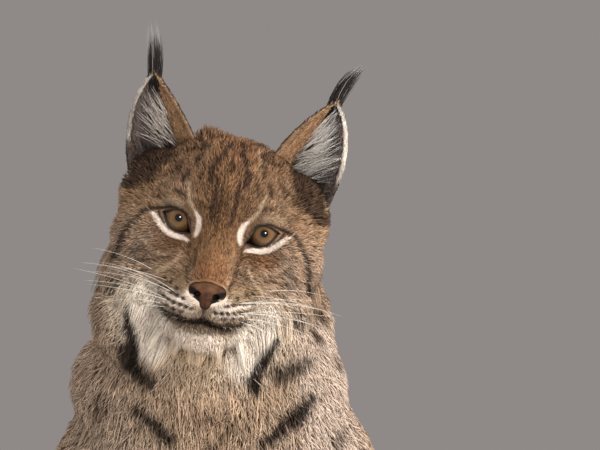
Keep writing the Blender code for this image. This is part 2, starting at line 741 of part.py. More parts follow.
def build_head(nodes, tools, locks):
    head = make_head(tools)
    nose = make_nose(nodes, tools)
    block = neck_block(tools, True)
    cut(head, "INTERSECT", block)
    bpy.data.objects.remove(block)
    clear_of(head, nose, tools)
    for side, word in ((1, "left"), (-1, "right")):
        eye = make_eye("eye_" + word, side, nodes)
        clear_of(head, eye, tools)
        opening = lid_cutter(side, tools)
        cut(head, "DIFFERENCE", opening)
        bpy.data.objects.remove(opening)
    groove = lip_cutter(head, tools)
    cut(head, "DIFFERENCE", groove)
    bpy.data.objects.remove(groove)
    keep_largest(head)
    jaw = part_off(head, "jaw", jaw_cutter(tools), nodes, tools)
    tools.objects.unlink(head)
    nodes.objects.link(head)
    made = {"head": head, "jaw": jaw, "nose": nose}
    for side, word in ((1, "left"), (-1, "right")):
        ear = make_ear("ear_" + word, side, nodes)
        add_ear_tuft(side, locks)
        join_locks(ear, locks)
        clear_of(ear, head, tools)
        made["ear_" + word] = ear
    add_head_locks(head, locks)
    join_locks(head, locks)
    add_beard(jaw, locks)
    join_locks(jaw, locks)
    clear_of(head, jaw, tools)
    return made


def build_body(nodes, tools):
    body = make_body(tools)
    ground = floor_block(tools)
    cut(body, "DIFFERENCE", ground)
    block = neck_block(tools, False)
    cut(body, "INTERSECT", block)
    bpy.data.objects.remove(block)
    keep_largest(body)
    made = {}
    tail = part_off(body, "tail", prism("tail", TAIL_CUT, FULL_WIDTH, tools), nodes, tools)
    made["tail"] = tail
    tip = prism("tip", TAIL_CUT, TAIL_TIP_CUT_X, tools)
    made["tail_tip"] = part_off(tail, "tail_tip", tip, nodes, tools)
    for side, word in ((1, "left"), (-1, "right")):
        cuts = (
            ("foreleg_", FORELEG_CUT, FORELEG_X),
            ("hind_paw_", HIND_PAW_CUT, HIND_PAW_X),
            ("hind_foot_", HIND_FOOT_CUT, HIND_FOOT_X),
            ("thigh_", THIGH_CUT, THIGH_X),
            ("shoulder_", SHOULDER_CUT, SHOULDER_X),
        )
        for name, outline, x_range in cuts:
            cutter = prism(name, outline, flip(x_range, side), tools)
            made[name + word] = part_off(body, name + word, cutter, nodes, tools)
        leg = made["foreleg_" + word]
        cutter = prism("paw", FORE_PAW_CUT, flip(FORELEG_X, side), tools)
        stub = part_off(leg, "fore_paw_" + word, cutter, nodes, tools)
        finish_paw(stub, FORE_PAW_AT, side, FORE_PAW_CUT, FORELEG_X, ground, tools)
        finish_paw(made["hind_paw_" + word], HIND_PAW_AT, side, HIND_PAW_CUT, HIND_PAW_X, ground, tools)
        made["fore_paw_" + word] = stub
    made["neck"] = part_off(body, "neck", prism("neck", NECK_CUT, FULL_WIDTH, tools), nodes, tools)
    made["chest"] = part_off(body, "chest", prism("chest", CHEST_CUT, FULL_WIDTH, tools), nodes, tools)
    body.name = "loin"
    tools.objects.unlink(body)
    nodes.objects.link(body)
    made["loin"] = body
    bpy.data.objects.remove(ground)
    return made


def finish_paw(stub, at, side, outline, x_range, ground, tools):
    """Joins the toes to the end of a leg, inside the paw's own block."""
    paw = make_paw("paw", at, side, tools)
    block = prism("paw_block", outline, flip(x_range, side), tools)
    cut(paw, "INTERSECT", block)
    cut(paw, "DIFFERENCE", ground)
    cut(stub, "UNION", paw)
    keep_largest(stub)
    bpy.data.objects.remove(block)
    bpy.data.objects.remove(paw)
    return stub


def dress(nodes):
    """Gives each node its material, by what it is."""
    coat = make_material("coat", COAT, 0.8)
    black = make_material("black_fur", COAT_BLACK, 0.7)
    pale = make_material("pale_fur", COAT_PALE, 0.8)
    nose = make_material("nose_skin", NOSE_SKIN, 0.45)
    iris = make_material("iris", IRIS, 0.1)
    special = {"nose": nose, "eye_left": iris, "eye_right": iris, "tail_tip": black, "jaw": pale}
    for obj in nodes.objects:
        obj.data.materials.clear()
        obj.data.materials.append(special.get(obj.name, coat))
        obj.data.shade_smooth()


def set_origin(nodes):
    """Moves the finished nodes back, so that the seat holds the origin."""
    for obj in nodes.objects:
        obj.data.transform(Matrix.Translation((0, -SEAT_Y, 0)))


def add_body_locks(made, locks, tools):
    """Grows each row on its node, and keeps the nodes clear of one another."""
    rows = [(row, 1) for row in BODY_LOCK_ROWS.values()]
    rows += [(row, side) for row in BODY_LOCK_PAIRS.values() for side in (1, -1)]
    grown_nodes = {}
    for row, side in rows:
        name = row[0]
        if name not in made:
            name += "_left" if side > 0 else "_right"
        grown_nodes.setdefault(name, []).append((row, side))
    for name, found in grown_nodes.items():
        tree = surface_tree(made[name])
        for row, side in found:
            add_row(tree, row, side, locks)
        join_locks(made[name], locks)
    for name, other in LOCK_CLEARANCES:
        clear_of(made[name], made[other], tools)


def main():
    clear_scene()
    nodes = make_collection("eurasian_lynx")
    tools = make_collection("cutters", shown=False)
    locks = make_collection("locks", shown=False)
    made = build_head(nodes, tools, locks)
    made.update(build_body(nodes, tools))
    add_body_locks(made, locks, tools)
    dress(nodes)
    set_origin(nodes)


main()
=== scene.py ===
import math

import bmesh
import bpy
import numpy as np
from mathutils import Matrix, Vector
from mathutils.bvhtree import BVHTree
from mathutils.kdtree import KDTree


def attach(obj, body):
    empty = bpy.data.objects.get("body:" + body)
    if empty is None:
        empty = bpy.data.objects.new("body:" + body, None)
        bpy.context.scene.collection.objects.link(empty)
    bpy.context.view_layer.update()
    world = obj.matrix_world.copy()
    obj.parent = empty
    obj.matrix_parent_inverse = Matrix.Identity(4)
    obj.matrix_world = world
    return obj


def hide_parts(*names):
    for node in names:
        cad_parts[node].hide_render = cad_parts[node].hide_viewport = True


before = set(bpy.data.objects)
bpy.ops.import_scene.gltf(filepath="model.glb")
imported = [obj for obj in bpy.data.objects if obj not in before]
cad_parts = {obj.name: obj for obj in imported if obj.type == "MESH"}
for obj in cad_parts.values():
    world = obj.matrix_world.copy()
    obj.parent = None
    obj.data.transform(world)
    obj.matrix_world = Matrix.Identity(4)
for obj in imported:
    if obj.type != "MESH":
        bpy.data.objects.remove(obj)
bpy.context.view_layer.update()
scene = bpy.context.scene
rng = np.random.default_rng(11)
mm = 0.001
tiny = 1e-9  # keeps a division away from zero

pose = {
    "seatBack": 0.205,  # the forms below are given from a point this far in front of the seat
    "headAt": (0.006, -0.235, 0.72),
    "headRoll": 10.6,
}
toSeat = Matrix.Translation((0, -pose["seatBack"], 0))
headTurn = Matrix.Rotation(math.radians(pose["headRoll"]), 4, "Y")
headFrame = toSeat @ Matrix.Translation(pose["headAt"]) @ headTurn


def headPoint(point):
    side, front, up = point
    return headFrame @ Vector((side * mm, -front * mm, up * mm))


def headDirection(direction):
    side, front, up = direction
    return (headFrame.to_3x3() @ Vector((side, -front, up))).normalized()


def inHead(points):  # an array of places, as (side, front, up) in millimetres
    back = np.array(headFrame.inverted())
    found = points @ back[:3, :3].T + back[:3, 3]
    return found * (1 / mm, -1 / mm, 1 / mm)


def flipped(point):
    return (-point[0], *point[1:])


def unit(vectors):
    return vectors / np.maximum(np.linalg.norm(vectors, axis=-1, keepdims=True), tiny)


def fade(values, start, over):  # from 0 to 1 beyond the start, as a column
    return np.clip((values - start) / over, 0, 1)[:, None]


def blend(colour, share, other):
    return colour + (np.array(other) - colour) * share


def nearTree(points):
    tree = KDTree(len(points))
    for i, point in enumerate(points):
        tree.insert(point, i)
    tree.balance()
    return tree


def curvePoint(three, share):  # along the curve through a start, a handle and an end
    start, handle, end = (Vector(point) for point in three)
    return start * (1 - share) ** 2 + handle * 2 * share * (1 - share) + end * share ** 2


def headCurve(three, shares, side=1):  # places along a curve of the head
    points = (curvePoint(three, share) for share in shares)
    return [headPoint((p.x * side, p.y, p.z)) for p in points]


def objectOf(name, bm):
    mesh = bpy.data.meshes.new(name)
    bm.to_mesh(mesh)
    bm.free()
    made = bpy.data.objects.new(name, mesh)
    scene.collection.objects.link(made)
    return made


def finished(obj):  # the object gets the mesh that its modifiers make
    graph = bpy.context.evaluated_depsgraph_get()
    graph.update()
    mesh = bpy.data.meshes.new_from_object(obj.evaluated_get(graph))
    old = obj.data
    obj.modifiers.clear()
    obj.data = mesh
    bpy.data.meshes.remove(old)
    return obj


def inOrder(obj):  # the Boolean's faces come in an order that changes from run to run
    old = obj.data
    rings = [list(face.vertices) for face in old.polygons]
    starts = [ring.index(min(ring)) for ring in rings]
    rings = sorted(ring[start:] + ring[:start] for ring, start in zip(rings, starts))
    mesh = bpy.data.meshes.new(old.name)
    mesh.from_pydata(vertexArray(old), [], rings)
    obj.data = mesh
    bpy.data.meshes.remove(old)
    return obj


def cut(obj, operation, other):
    step = obj.modifiers.new("cut", "BOOLEAN")
    step.operation = operation
    step.solver = "MANIFOLD"
    step.object = other
    finished(obj)
    bpy.data.objects.remove(other)
    return inOrder(obj)


def vertexArray(mesh, what="co"):
    values = np.empty(len(mesh.vertices) * 3, np.float32)
    mesh.vertices.foreach_get(what, values)
    return values.reshape(-1, 3).astype(float)


def setVertices(mesh, points):
    mesh.vertices.foreach_set("co", points.astype(np.float32).ravel())
    mesh.update()


def colourPoints(mesh, name, colours):  # a colour for each vertex
    tint = np.ones((len(colours), 4))
    tint[:, :3] = np.clip(colours, 0, 1)
    attribute = mesh.color_attributes.new(name, "FLOAT_COLOR", "POINT")
    attribute.data.foreach_set("color", tint.astype(np.float32).ravel())


def addBall(bm, centre, radii, inHeadFrame=False, segments=32):
    if inHeadFrame:
        side, front, up = centre
        size = (radii[0] * mm, radii[1] * mm, radii[2] * mm, 1)
        place = headFrame @ Matrix.Translation((side * mm, -front * mm, up * mm)) @ Matrix.Diagonal(size)
    else:
        place = toSeat @ Matrix.Translation(centre) @ Matrix.Diagonal((*radii, 1))
    bmesh.ops.create_uvsphere(bm, u_segments=segments, v_segments=segments // 2, radius=1, matrix=place)


def addLimb(bm, start, startRadius, end, endRadius, shift=toSeat):
    start, end = shift @ Vector(start), shift @ Vector(end)
    along = end - start
    turn = along.to_track_quat("Z", "Y").to_matrix().to_4x4()
    bmesh.ops.create_cone(
        bm, cap_ends=True, segments=32, radius1=startRadius, radius2=endRadius, depth=along.length,
        matrix=Matrix.Translation((start + end) / 2) @ turn,
    )
    for centre, radius in ((start, startRadius), (end, endRadius)):
        bmesh.ops.create_uvsphere(
            bm, u_segments=32, v_segments=16, radius=radius, matrix=Matrix.Translation(centre),
        )


def addForms(bm, forms, inHeadFrame=False):  # the forms in the middle, then each pair
    for centre, radii in forms["middle"].values():
        addBall(bm, centre, radii, inHeadFrame)
    for centre, radii in forms["pairs"].values():
        for flip in (tuple, flipped):
            addBall(bm, flip(centre), radii, inHeadFrame)


def fused(obj, voxel, rounds):  # one smooth closed surface from overlapping forms
    remesh = obj.modifiers.new("fuse", "REMESH")
    remesh.mode = "VOXEL"
    remesh.voxel_size = voxel * mm
    soften = obj.modifiers.new("soften", "SMOOTH")
    soften.factor = 0.5
    soften.iterations = rounds
    return finished(obj)


# Forms of the head, as (centre, radii). A pair is mirrored.
headForms = {
    "voxel": 2.0, "rounds": 23,
    "middle": {
        "cranium": ((0, -40, 16), (68, 60, 58)),
        "crownSide": ((-19, -32, 48), (24, 24, 29)),
        "forehead": ((0, -6, 22), (46, 30, 42)),
        "midface": ((0, 0, -20), (50, 20, 38)),
        "muzzle": ((0, 30, -54), (28, 29, 22)),
        "jaw": ((0, 8, -74), (36, 34, 22)),
        "chin": ((0, 34, -83), (20, 18, 15)),
        "throat": ((0, -22, -76), (54, 42, 32)),
    },
    "pairs": {
        "temple": ((52, -32, 14), (32, 38, 40)),
        "brow": ((30, 6, 21), (21, 15, 13)),
        "whiskerPad": ((15, 38, -59), (21, 21, 17)),
        "cheekFront": ((28, 10, -34), (26, 22, 26)),
        "cheekbone": ((53, -16, -16), (31, 35, 35)),
        "jowl": ((50, -22, -50), (34, 38, 36)),
        "lid": ((33.5, 0, 0), (16.2, 16.2, 16.2)),
        "ruff": ((54, -20, -76), (34, 30, 38)),
    },
    "bridge": ((0, 13, 6), 15, (0, 42, -38), 13),
}

# Forms of the body in metres
bodyForms = {
    "voxel": 5.0, "rounds": 20,
    "middle": {
        "breast": ((0, -0.15, 0.44), (0.095, 0.092, 0.12)),
        "withers": ((0, -0.045, 0.5), (0.088, 0.088, 0.06)),
        "nape": ((-0.004, -0.142, 0.595), (0.11, 0.084, 0.078)),
        "rump": ((0, 0.205, 0.12), (0.128, 0.11, 0.126)),
    },
    "pairs": {
        "shoulder": ((0.082, -0.102, 0.45), (0.058, 0.09, 0.145)),
        "flank": ((0.042, 0.06, 0.3), (0.078, 0.108, 0.114)),
        "haunch": ((0.105, 0.12, 0.165), (0.068, 0.125, 0.118)),
        "knee": ((0.128, 0.005, 0.19), (0.046, 0.055, 0.062)),
    },
    "lengths": {
        "ribs": ((0, -0.1, 0.455), 0.116, (0, 0.05, 0.3), 0.124),
        "loin": ((0, 0.05, 0.3), 0.124, (0, 0.175, 0.15), 0.132),
        "neck": ((0, -0.092, 0.5), 0.124, (0.002, -0.158, 0.635), 0.093),
    },
    "limbs": {
        "upperArm": ((0.092, -0.15, 0.42), 0.052, (0.086, -0.1, 0.305), 0.05),
        "forearm": ((0.086, -0.104, 0.305), 0.05, (0.074, -0.165, 0.085), 0.037),
        "wrist": ((0.074, -0.165, 0.085), 0.037, (0.073, -0.182, 0.032), 0.038),
        "shank": ((0.13, 0.01, 0.18), 0.052, (0.12, 0.19, 0.075), 0.045),
        "hock": ((0.122, 0.205, 0.048), 0.038, (0.13, 0.0, 0.036), 0.034),
        "instep": ((0.13, 0.0, 0.036), 0.034, (0.132, -0.04, 0.03), 0.034),
    },
    "tail": (
        ((0, 0.285, 0.08), 0.042), ((0.012, 0.335, 0.045), 0.037), ((0.055, 0.372, 0.034), 0.036),
        ((0.108, 0.378, 0.033), 0.035), ((0.15, 0.362, 0.032), 0.03),
    ),
    "blackTail": (0.098, 0.105, 0.085),  # beyond this x, behind this y and below this z
    "offFloor": 0.5,  # millimetres
}

paws = {
    "voxel": 2.4, "rounds": 3,
    "fore": (0.073, -0.2, 0.0), "hind": (0.132, -0.052, 0.0),
    "palm": ((0, 0.018, 0.028), (0.043, 0.046, 0.035)),
    "toes": ((-0.0305, -0.014), (-0.011, -0.032), (0.0115, -0.032), (0.0305, -0.014)),
    "toeRadii": (0.0155, 0.026, 0.0205), "toeHeight": 0.0185,
}

eyes = {
    "side": 33.5, "radius": 14.0, "bulge": 1.2, "bulgeFrom": 0.75, "socket": 14.35,
    "iris": 12.3, "pupil": 2.9, "gaze": (0.8, 2.7),  # to the lynx's left, up
    # the opening between the lids, seen from the front: inner corner, top, outer corner, bottom
    "opening": ((21.5, -7.2), (31.0, 8.2), (46.5, 5.2), (34.0, -8.2)),
    "rimRadius": 15.0, "rimReach": 14.6, "rimThick": 0.85,
}

mouth = {
    "middle": (0.0, -72.5), "corner": (35.0, -66.0),
    "groove": 1.5, "grooveReach": 36, "grooveStep": 3,
    "lip": 1.5, "lipReach": 34, "lipStep": 2, "lipDrop": 0.4, "lipSunk": 0.9, "lipEnd": 0.35,
}

ears = {
    "inner": {1: ((27, -26, 56), (42, -20, 92), (71, -22, 114)),  # edge: root, handle, tip
              -1: ((27, -26, 56), (47, -20, 88), (73, -22, 111))},
    "outer": {1: ((71, -22, 14), (98, -14, 74), (71, -22, 114)),
              -1: ((71, -22, 14), (98, -14, 74), (73, -22, 111))},
    "cup": 34, "cupPower": 0.6, "wall": 2.4, "foot": -0.16, "top": 0.985,
    "columns": 24, "rows": 36, "near": 4.2,
}

# The coat, place by place: where, how far it rules (mm), lie, depth, length, width, gap (mm), colour.
# Head places are in the head's frame, and a pair is mirrored.
headCoat = {
    "middle": {
        "noseTop": ((0, 50, -38), 9, (0, -0.3, 1), 1, 2.8, 0.55, 0.85, (0.276, 0.115, 0.049)),
        "bridge": ((0, 36, -22), 11, (0, -0.5, 1), 1.2, 3.4, 0.6, 0.88, (0.235, 0.13, 0.064)),
        "betweenEyes": ((0, 26, 0), 11, (0, -0.4, 1), 1.5, 4.2, 0.62, 0.92, (0.193, 0.096, 0.043)),
        "forehead": ((0, 22, 28), 16, (0, -0.5, 1), 2.4, 6, 0.7, 1.05, (0.19, 0.102, 0.052)),
        "crown": ((0, -8, 60), 20, (0, -1, 0.5), 4.5, 9, 0.9, 1.5, (0.24, 0.117, 0.055)),
        "crownBack": ((0, -60, 56), 26, (0, -1, -0.3), 7, 15, 1.8, 3.5, (0.18, 0.1, 0.055)),
        "headBack": ((0, -92, 16), 26, (0, -0.6, -1), 9, 18, 2.2, 4.2, (0.19, 0.11, 0.062)),
        "chin": ((0, 50, -86), 11, (0, -0.5, -1), 1.2, 4.0, 0.5, 0.85, (0.774, 0.688, 0.529)),
        "lipTop": ((0, 58, -68), 7, (0, -0.3, -1), 0.8, 2.2, 0.45, 0.75, (0.23, 0.16, 0.11)),
        "throat": ((0, 16, -104), 15, (0, 0, -1), 4.5, 12.4, 0.85, 1.5, (0.964, 0.789, 0.602)),
    },
    "pairs": {
        "browInner": ((16, 22, 22), 9, (0.1, -0.4, 1), 1.8, 4.8, 0.6, 0.95, (0.19, 0.108, 0.06)),
        "foreheadSide": ((27, 12, 38), 14, (0.25, -0.6, 1), 2.6, 6.2, 0.72, 1.1, (0.225, 0.136, 0.081)),
        "crownSide": ((34, -24, 60), 14, (0.1, -1, 0.6), 3.8, 8.5, 0.9, 1.5, (0.21, 0.125, 0.07)),
        "brow": ((34, 21, 16), 8, (0.6, -0.3, 0.9), 1.1, 3.8, 0.55, 0.85, (0.3, 0.2, 0.125)),
        "browOuter": ((50, 4, 15), 10, (0.9, -0.6, 0.5), 1.6, 5, 0.65, 1, (0.25, 0.155, 0.09)),
        "temple": ((66, -18, 20), 15, (0.6, -1, 0.2), 4, 9.4, 0.85, 1.45, (0.324, 0.197, 0.11)),
        "eyeInner": ((18, 20, -2), 6, (-0.1, -0.4, 1), 0.7, 2.2, 0.45, 0.7, (0.25, 0.15, 0.09)),
        "underEye": ((34, 18, -18), 9, (0.8, -0.5, -0.5), 1.2, 4.2, 0.6, 0.9, (0.161, 0.065, 0.023)),
        "underOuter": ((52, 2, -8), 9, (1, -0.7, -0.2), 1.5, 5, 0.65, 1, (0.3, 0.2, 0.13)),
        "cheekFront": ((44, 14, -32), 12, (1, -0.7, -0.3), 2.2, 6.2, 0.7, 1.1, (0.383, 0.261, 0.177)),
        "cheek": ((62, -4, -28), 15, (0.8, -1, -0.5), 4.5, 10.5, 0.9, 1.5, (0.432, 0.295, 0.21)),
        "cheekBack": ((76, -34, -26), 20, (0.4, -1, -0.8), 7, 15, 1.2, 2.1, (0.29, 0.195, 0.125)),
        "muzzleSide": ((25, 34, -40), 9, (0.8, -0.6, 0.2), 1.5, 4.2, 0.6, 0.92, (0.25, 0.16, 0.094)),
        "whiskerPad": ((21, 50, -56), 9, (0.9, -0.6, -0.1), 0.9, 2.5, 0.5, 0.74, (0.404, 0.303, 0.204)),
        "upperLip": ((13, 56, -67), 7, (0.7, -0.4, -0.7), 0.8, 2.4, 0.45, 0.72, (0.451, 0.352, 0.262)),
        "padBack": ((36, 32, -56), 9, (0.9, -0.8, -0.4), 1.6, 4.8, 0.62, 1, (0.36, 0.265, 0.185)),
        "jawSide": ((29, 28, -80), 11, (0.5, -0.5, -0.9), 2, 6, 0.65, 1, (0.816, 0.735, 0.627)),
        "jowl": ((50, 4, -66), 14, (0.5, -0.5, -1), 3.6, 10, 0.8, 1.25, (0.836, 0.745, 0.616)),
        "ruffSide": ((72, -14, -62), 15, (0.5, -0.6, -1), 6.5, 15, 1, 1.75, (0.358, 0.248, 0.172)),
        "ruffLow": ((60, -10, -98), 15, (0.25, -0.2, -1), 7, 16, 1, 1.75, (0.361, 0.253, 0.17)),
        "lobe": ((36, 10, -94), 12, (0.1, -0.1, -1), 3.8, 11.5, 0.8, 1.25, (0.959, 0.884, 0.781)),
        "nape": ((52, -76, -6), 26, (0.25, -0.7, -1), 9, 18, 2.0, 3.9, (0.2, 0.12, 0.07)),
        "earFoot": ((62, -34, 40), 12, (0.4, -0.8, 0.6), 3, 7.5, 0.85, 1.4, (0.19, 0.125, 0.08)),
    },
}

# Body places, in metres, the same way. Tail places aren't mirrored.
bodyCoat = {
    "middle": {
        "neckFront": ((0, -0.245, 0.605), 40, (0, -0.1, -1), 8, 13.5, 0.9, 1.7, (0.58, 0.41, 0.275)),
        "chestTop": ((0, -0.25, 0.54), 45, (0, 0, -1), 8.5, 14, 0.95, 1.8, (0.452, 0.31, 0.213)),
        "chest": ((0, -0.245, 0.45), 55, (0, 0.1, -1), 12, 21, 1.6, 3.1, (0.45, 0.34, 0.24)),
        "chestLow": ((0, -0.21, 0.35), 55, (0, 0.2, -1), 13, 26, 2.3, 4.6, (0.52, 0.43, 0.32)),
        "nape": ((0, -0.09, 0.65), 50, (0, 0.5, -1), 10, 20, 2.1, 4.0, (0.21, 0.125, 0.072)),
        "withers": ((0, -0.01, 0.55), 60, (0, 0.6, -0.9), 11, 24, 2.5, 4.8, (0.215, 0.13, 0.074)),
        "back": ((0, 0.12, 0.41), 80, (0, 0.7, -0.9), 12, 26, 2.8, 5.4, (0.225, 0.136, 0.078)),
        "rump": ((0, 0.29, 0.23), 80, (0, 0.5, -1), 12, 26, 2.8, 5.4, (0.24, 0.15, 0.09)),
        "seat": ((0, 0.22, 0.01), 60, (0, 0.6, -0.3), 8, 20, 3, 6.4, (0.48, 0.39, 0.29)),
        "belly": ((0, 0.0, 0.2), 60, (0, 0.2, -1), 13, 28, 3, 6.2, (0.6, 0.52, 0.41)),
        "tailRoot": ((0, 0.31, 0.06), 26, (0.1, 0.8, -0.5), 9, 19, 2.1, 3.9, (0.26, 0.165, 0.098)),
        "tailBend": ((0.03, 0.356, 0.04), 24, (0.8, 0.6, -0.1), 9, 18, 2.0, 3.9, (0.27, 0.175, 0.105)),
        "tailSide": ((0.085, 0.378, 0.034), 22, (1, 0.1, 0), 9, 18, 2.0, 3.9, (0.24, 0.155, 0.095)),
        "tailTip": ((0.14, 0.366, 0.033), 24, (1, -0.35, 0), 8, 17, 2.0, 3.7, (0.022, 0.017, 0.015)),
    },
    "pairs": {
        "neckSide": ((0.088, -0.18, 0.6), 42, (0.25, 0.3, -1), 8.5, 14.5, 1.0, 1.95, (0.422, 0.31, 0.23)),
        "chestSide": ((0.08, -0.21, 0.51), 42, (0.12, 0.2, -1), 9, 15, 1.05, 2.1, (0.493, 0.402, 0.317)),
        "shoulder": ((0.13, -0.11, 0.44), 65, (0.1, 0.4, -1), 10, 20, 2, 3.9, (0.315, 0.205, 0.122)),
        "side": ((0.12, 0.05, 0.34), 80, (0, 0.6, -0.9), 12, 25, 2.7, 5.2, (0.285, 0.185, 0.112)),
        "haunch": ((0.168, 0.13, 0.18), 80, (0.05, 0.35, -1), 9, 21, 2.5, 5, (0.29, 0.19, 0.115)),
        "knee": ((0.15, -0.03, 0.2), 45, (0.05, 0.1, -1), 7, 17, 2.3, 4.5, (0.3, 0.2, 0.125)),
        "upperArm": ((0.125, -0.13, 0.34), 45, (0.05, 0.2, -1), 8, 19, 2.3, 4.5, (0.3, 0.2, 0.122)),
        "armInner": ((0.04, -0.14, 0.26), 36, (0, 0, -1), 8, 19, 2.6, 5.4, (0.48, 0.385, 0.285)),
        "forearm": ((0.088, -0.16, 0.2), 50, (0, -0.05, -1), 5.5, 12.4, 2.0, 3.9, (0.34, 0.24, 0.155)),
        "wrist": ((0.073, -0.19, 0.085), 28, (0, -0.3, -1), 4.5, 9.5, 1.6, 3.0, (0.38, 0.28, 0.19)),
        "forePaw": ((0.073, -0.21, 0.045), 24, (0, -1, -0.3), 3.2, 7.5, 1.4, 2.8, (0.43, 0.33, 0.235)),
        "foreToes": ((0.073, -0.25, 0.02), 18, (0, -1, -0.5), 2.4, 6, 1.2, 2.4, (0.5, 0.4, 0.295)),
        "shank": ((0.16, 0.11, 0.09), 50, (0.1, 0.2, -1), 6, 15, 2.3, 4.6, (0.34, 0.24, 0.155)),
        "hock": ((0.13, 0.12, 0.04), 40, (0, -0.7, -0.5), 4.5, 12, 2.2, 4.4, (0.4, 0.3, 0.205)),
        "instep": ((0.13, 0.0, 0.05), 28, (0, -1, -0.2), 3.3, 8.5, 1.6, 3.2, (0.43, 0.33, 0.235)),
        "hindPaw": ((0.132, -0.055, 0.04), 24, (0, -1, -0.3), 3, 7, 1.4, 2.8, (0.45, 0.35, 0.25)),
        "hindToes": ((0.132, -0.1, 0.02), 18, (0, -1, -0.5), 2.4, 6, 1.2, 2.4, (0.5, 0.4, 0.295)),
    },
}


def fieldRows():
    rows = []
    for table, place, turn in (
        (headCoat, headPoint, headDirection),
        (bodyCoat, lambda p: toSeat @ Vector(p), lambda d: Vector(d).normalized()),
    ):
        entries = [(row, tuple) for row in table["middle"].values()]
        entries += [(row, flip) for row in table["pairs"].values() for flip in (tuple, flipped)]
        for (at, reach, lie, *sizes, colour), flip in entries:
            rows.append((*place(flip(at)), reach * mm, *turn(flip(lie)), *sizes, *colour))
    return np.array(rows)


coatRows = fieldRows()


def coatAt(points):  # what the coat is like at each place
    away = ((points[:, None] - coatRows[None, :, :3]) ** 2).sum(axis=2) / (2 * coatRows[:, 3] ** 2)
    weight = np.exp(away.min(axis=1, keepdims=True) - away)
    weight /= weight.sum(axis=1, keepdims=True)
    mixed = weight @ coatRows[:, 4:]
    return {
        "lie": mixed[:, :3], "depth": mixed[:, 3] * mm, "length": mixed[:, 4] * mm,
        "width": mixed[:, 5] * mm, "gap": mixed[:, 6] * mm, "colour": mixed[:, 7:10],
    }


def alongLine(flat, a, b):  # each flat place's share of the way from a to b, and its distance from the line
    along = b - a
    share = np.clip(((flat - a) @ along) / max(along @ along, tiny), 0, 1)
    return share, np.linalg.norm(flat - a - share[:, None] * along, axis=1)


def awayFromOpening(flat):  # distance in mm from the almond between the lids, negative inside it
    ring = np.array(openingPoints(1))
    best, inside = np.full(len(flat), np.inf), np.zeros(len(flat), bool)
    for a, b in zip(ring, np.roll(ring, -1, axis=0)):
        across, rise = b - a
        best = np.minimum(best, alongLine(flat, a, b)[1])
        crosses = (a[1] > flat[:, 1]) != (b[1] > flat[:, 1])
        rise = rise if abs(rise) > tiny else tiny
        inside ^= crosses & (flat[:, 0] < a[0] + (flat[:, 1] - a[1]) * across / rise)
    return np.where(inside, -best, best)


# The short coat round the eyes, in millimetres
eyeCoat = {
    "across": 62, "high": 26,  # how far from the middle of the head and from the eyes' line it can be
    "middle": (34, 0.5), "lean": 0.35, "turned": (9, 7), "close": (5.5, 4),
    "short": (("depth", 0.7), ("length", 2.3), ("width", 0.46), ("gap", 0.72)),
}


def withEyes(points, field):  # short coat that lies away from each eye
    local = inHead(points)
    near = (local[:, 1] > 0) & (abs(local[:, 2]) < eyeCoat["high"]) & (abs(local[:, 0]) < eyeCoat["across"])
    near = np.flatnonzero(near)
    flat = np.stack([abs(local[near, 0]), local[near, 2]], axis=1)
    away = awayFromOpening(flat)
    out = flat - eyeCoat["middle"]
    back = -eyeCoat["lean"] * np.linalg.norm(out, axis=1)
    lie = np.stack([out[:, 0] * np.sign(local[near, 0]), back, out[:, 1]], axis=1)
    turn = np.array(headFrame.to_3x3())
    lie = unit(lie * (1, -1, 1)) @ turn.T
    (turnFrom, turnOver), (closeFrom, closeOver) = eyeCoat["turned"], eyeCoat["close"]
    share = np.clip((turnFrom - away) / turnOver, 0, 1)[:, None]
    field["lie"][near] = unit(field["lie"][near]) * (1 - share) + lie * share
    close = np.clip((closeFrom - away) / closeOver, 0, 1)
    for key, value in eyeCoat["short"]:
        field[key][near] += (value * mm - field[key][near]) * close
    field["calm"] = np.zeros(len(points))
    field["calm"][near] = share[:, 0]


def coatInParts(points, size=20000):
    found = [coatAt(points[i:i + size]) for i in range(0, len(points), size)]
    return {key: np.concatenate([part[key] for part in found]) for key in found[0]}


def drawnIn(obj, share=0.9):  # the skin lies inside the outer form by the coat's depth
    points, normals = vertexArray(obj.data), vertexArray(obj.data, "normal")
    inset = coatInParts(points)["depth"] * share
    setVertices(obj.data, points - normals * inset[:, None])
    return obj


def makeHead():
    bm = bmesh.new()
    addForms(bm, headForms, True)
    start, startRadius, end, endRadius = headForms["bridge"]
    addLimb(bm, headPoint(start), startRadius * mm, headPoint(end), endRadius * mm, Matrix())
    return drawnIn(fused(objectOf("skin", bm), headForms["voxel"], headForms["rounds"]))


def makeBody():
    bm = bmesh.new()
    addForms(bm, bodyForms)
    for length in bodyForms["lengths"].values():
        addLimb(bm, *length)
    for start, startRadius, end, endRadius in bodyForms["limbs"].values():
        for flip in (tuple, flipped):
            addLimb(bm, flip(start), startRadius, flip(end), endRadius)
    for bend, after in zip(bodyForms["tail"], bodyForms["tail"][1:]):
        addLimb(bm, *bend, *after)
    return drawnIn(fused(objectOf("trunk", bm), bodyForms["voxel"], bodyForms["rounds"]))


def makePaw(at, side):
    bm = bmesh.new()
    base = Vector((at[0] * side, at[1], at[2]))
    centre, radii = paws["palm"]
    addBall(bm, base + Vector((centre[0] * side, centre[1], centre[2])), radii)
    for across, along in paws["toes"]:
        addBall(bm, base + Vector((across * side, along, paws["toeHeight"])), paws["toeRadii"])
    return drawnIn(fused(objectOf("paw", bm), paws["voxel"], paws["rounds"]))


def leafPlace(across, height, side):  # a point of the ear's middle surface
    inner, outer = curvePoint(ears["inner"][side], height), curvePoint(ears["outer"][side], height)
    place = inner.lerp(outer, (across + 1) / 2)
    place.y -= ears["cup"] * (1 - height) ** ears["cupPower"] * (1 - across ** 2)
    return Vector((place.x * side, place.y, place.z))


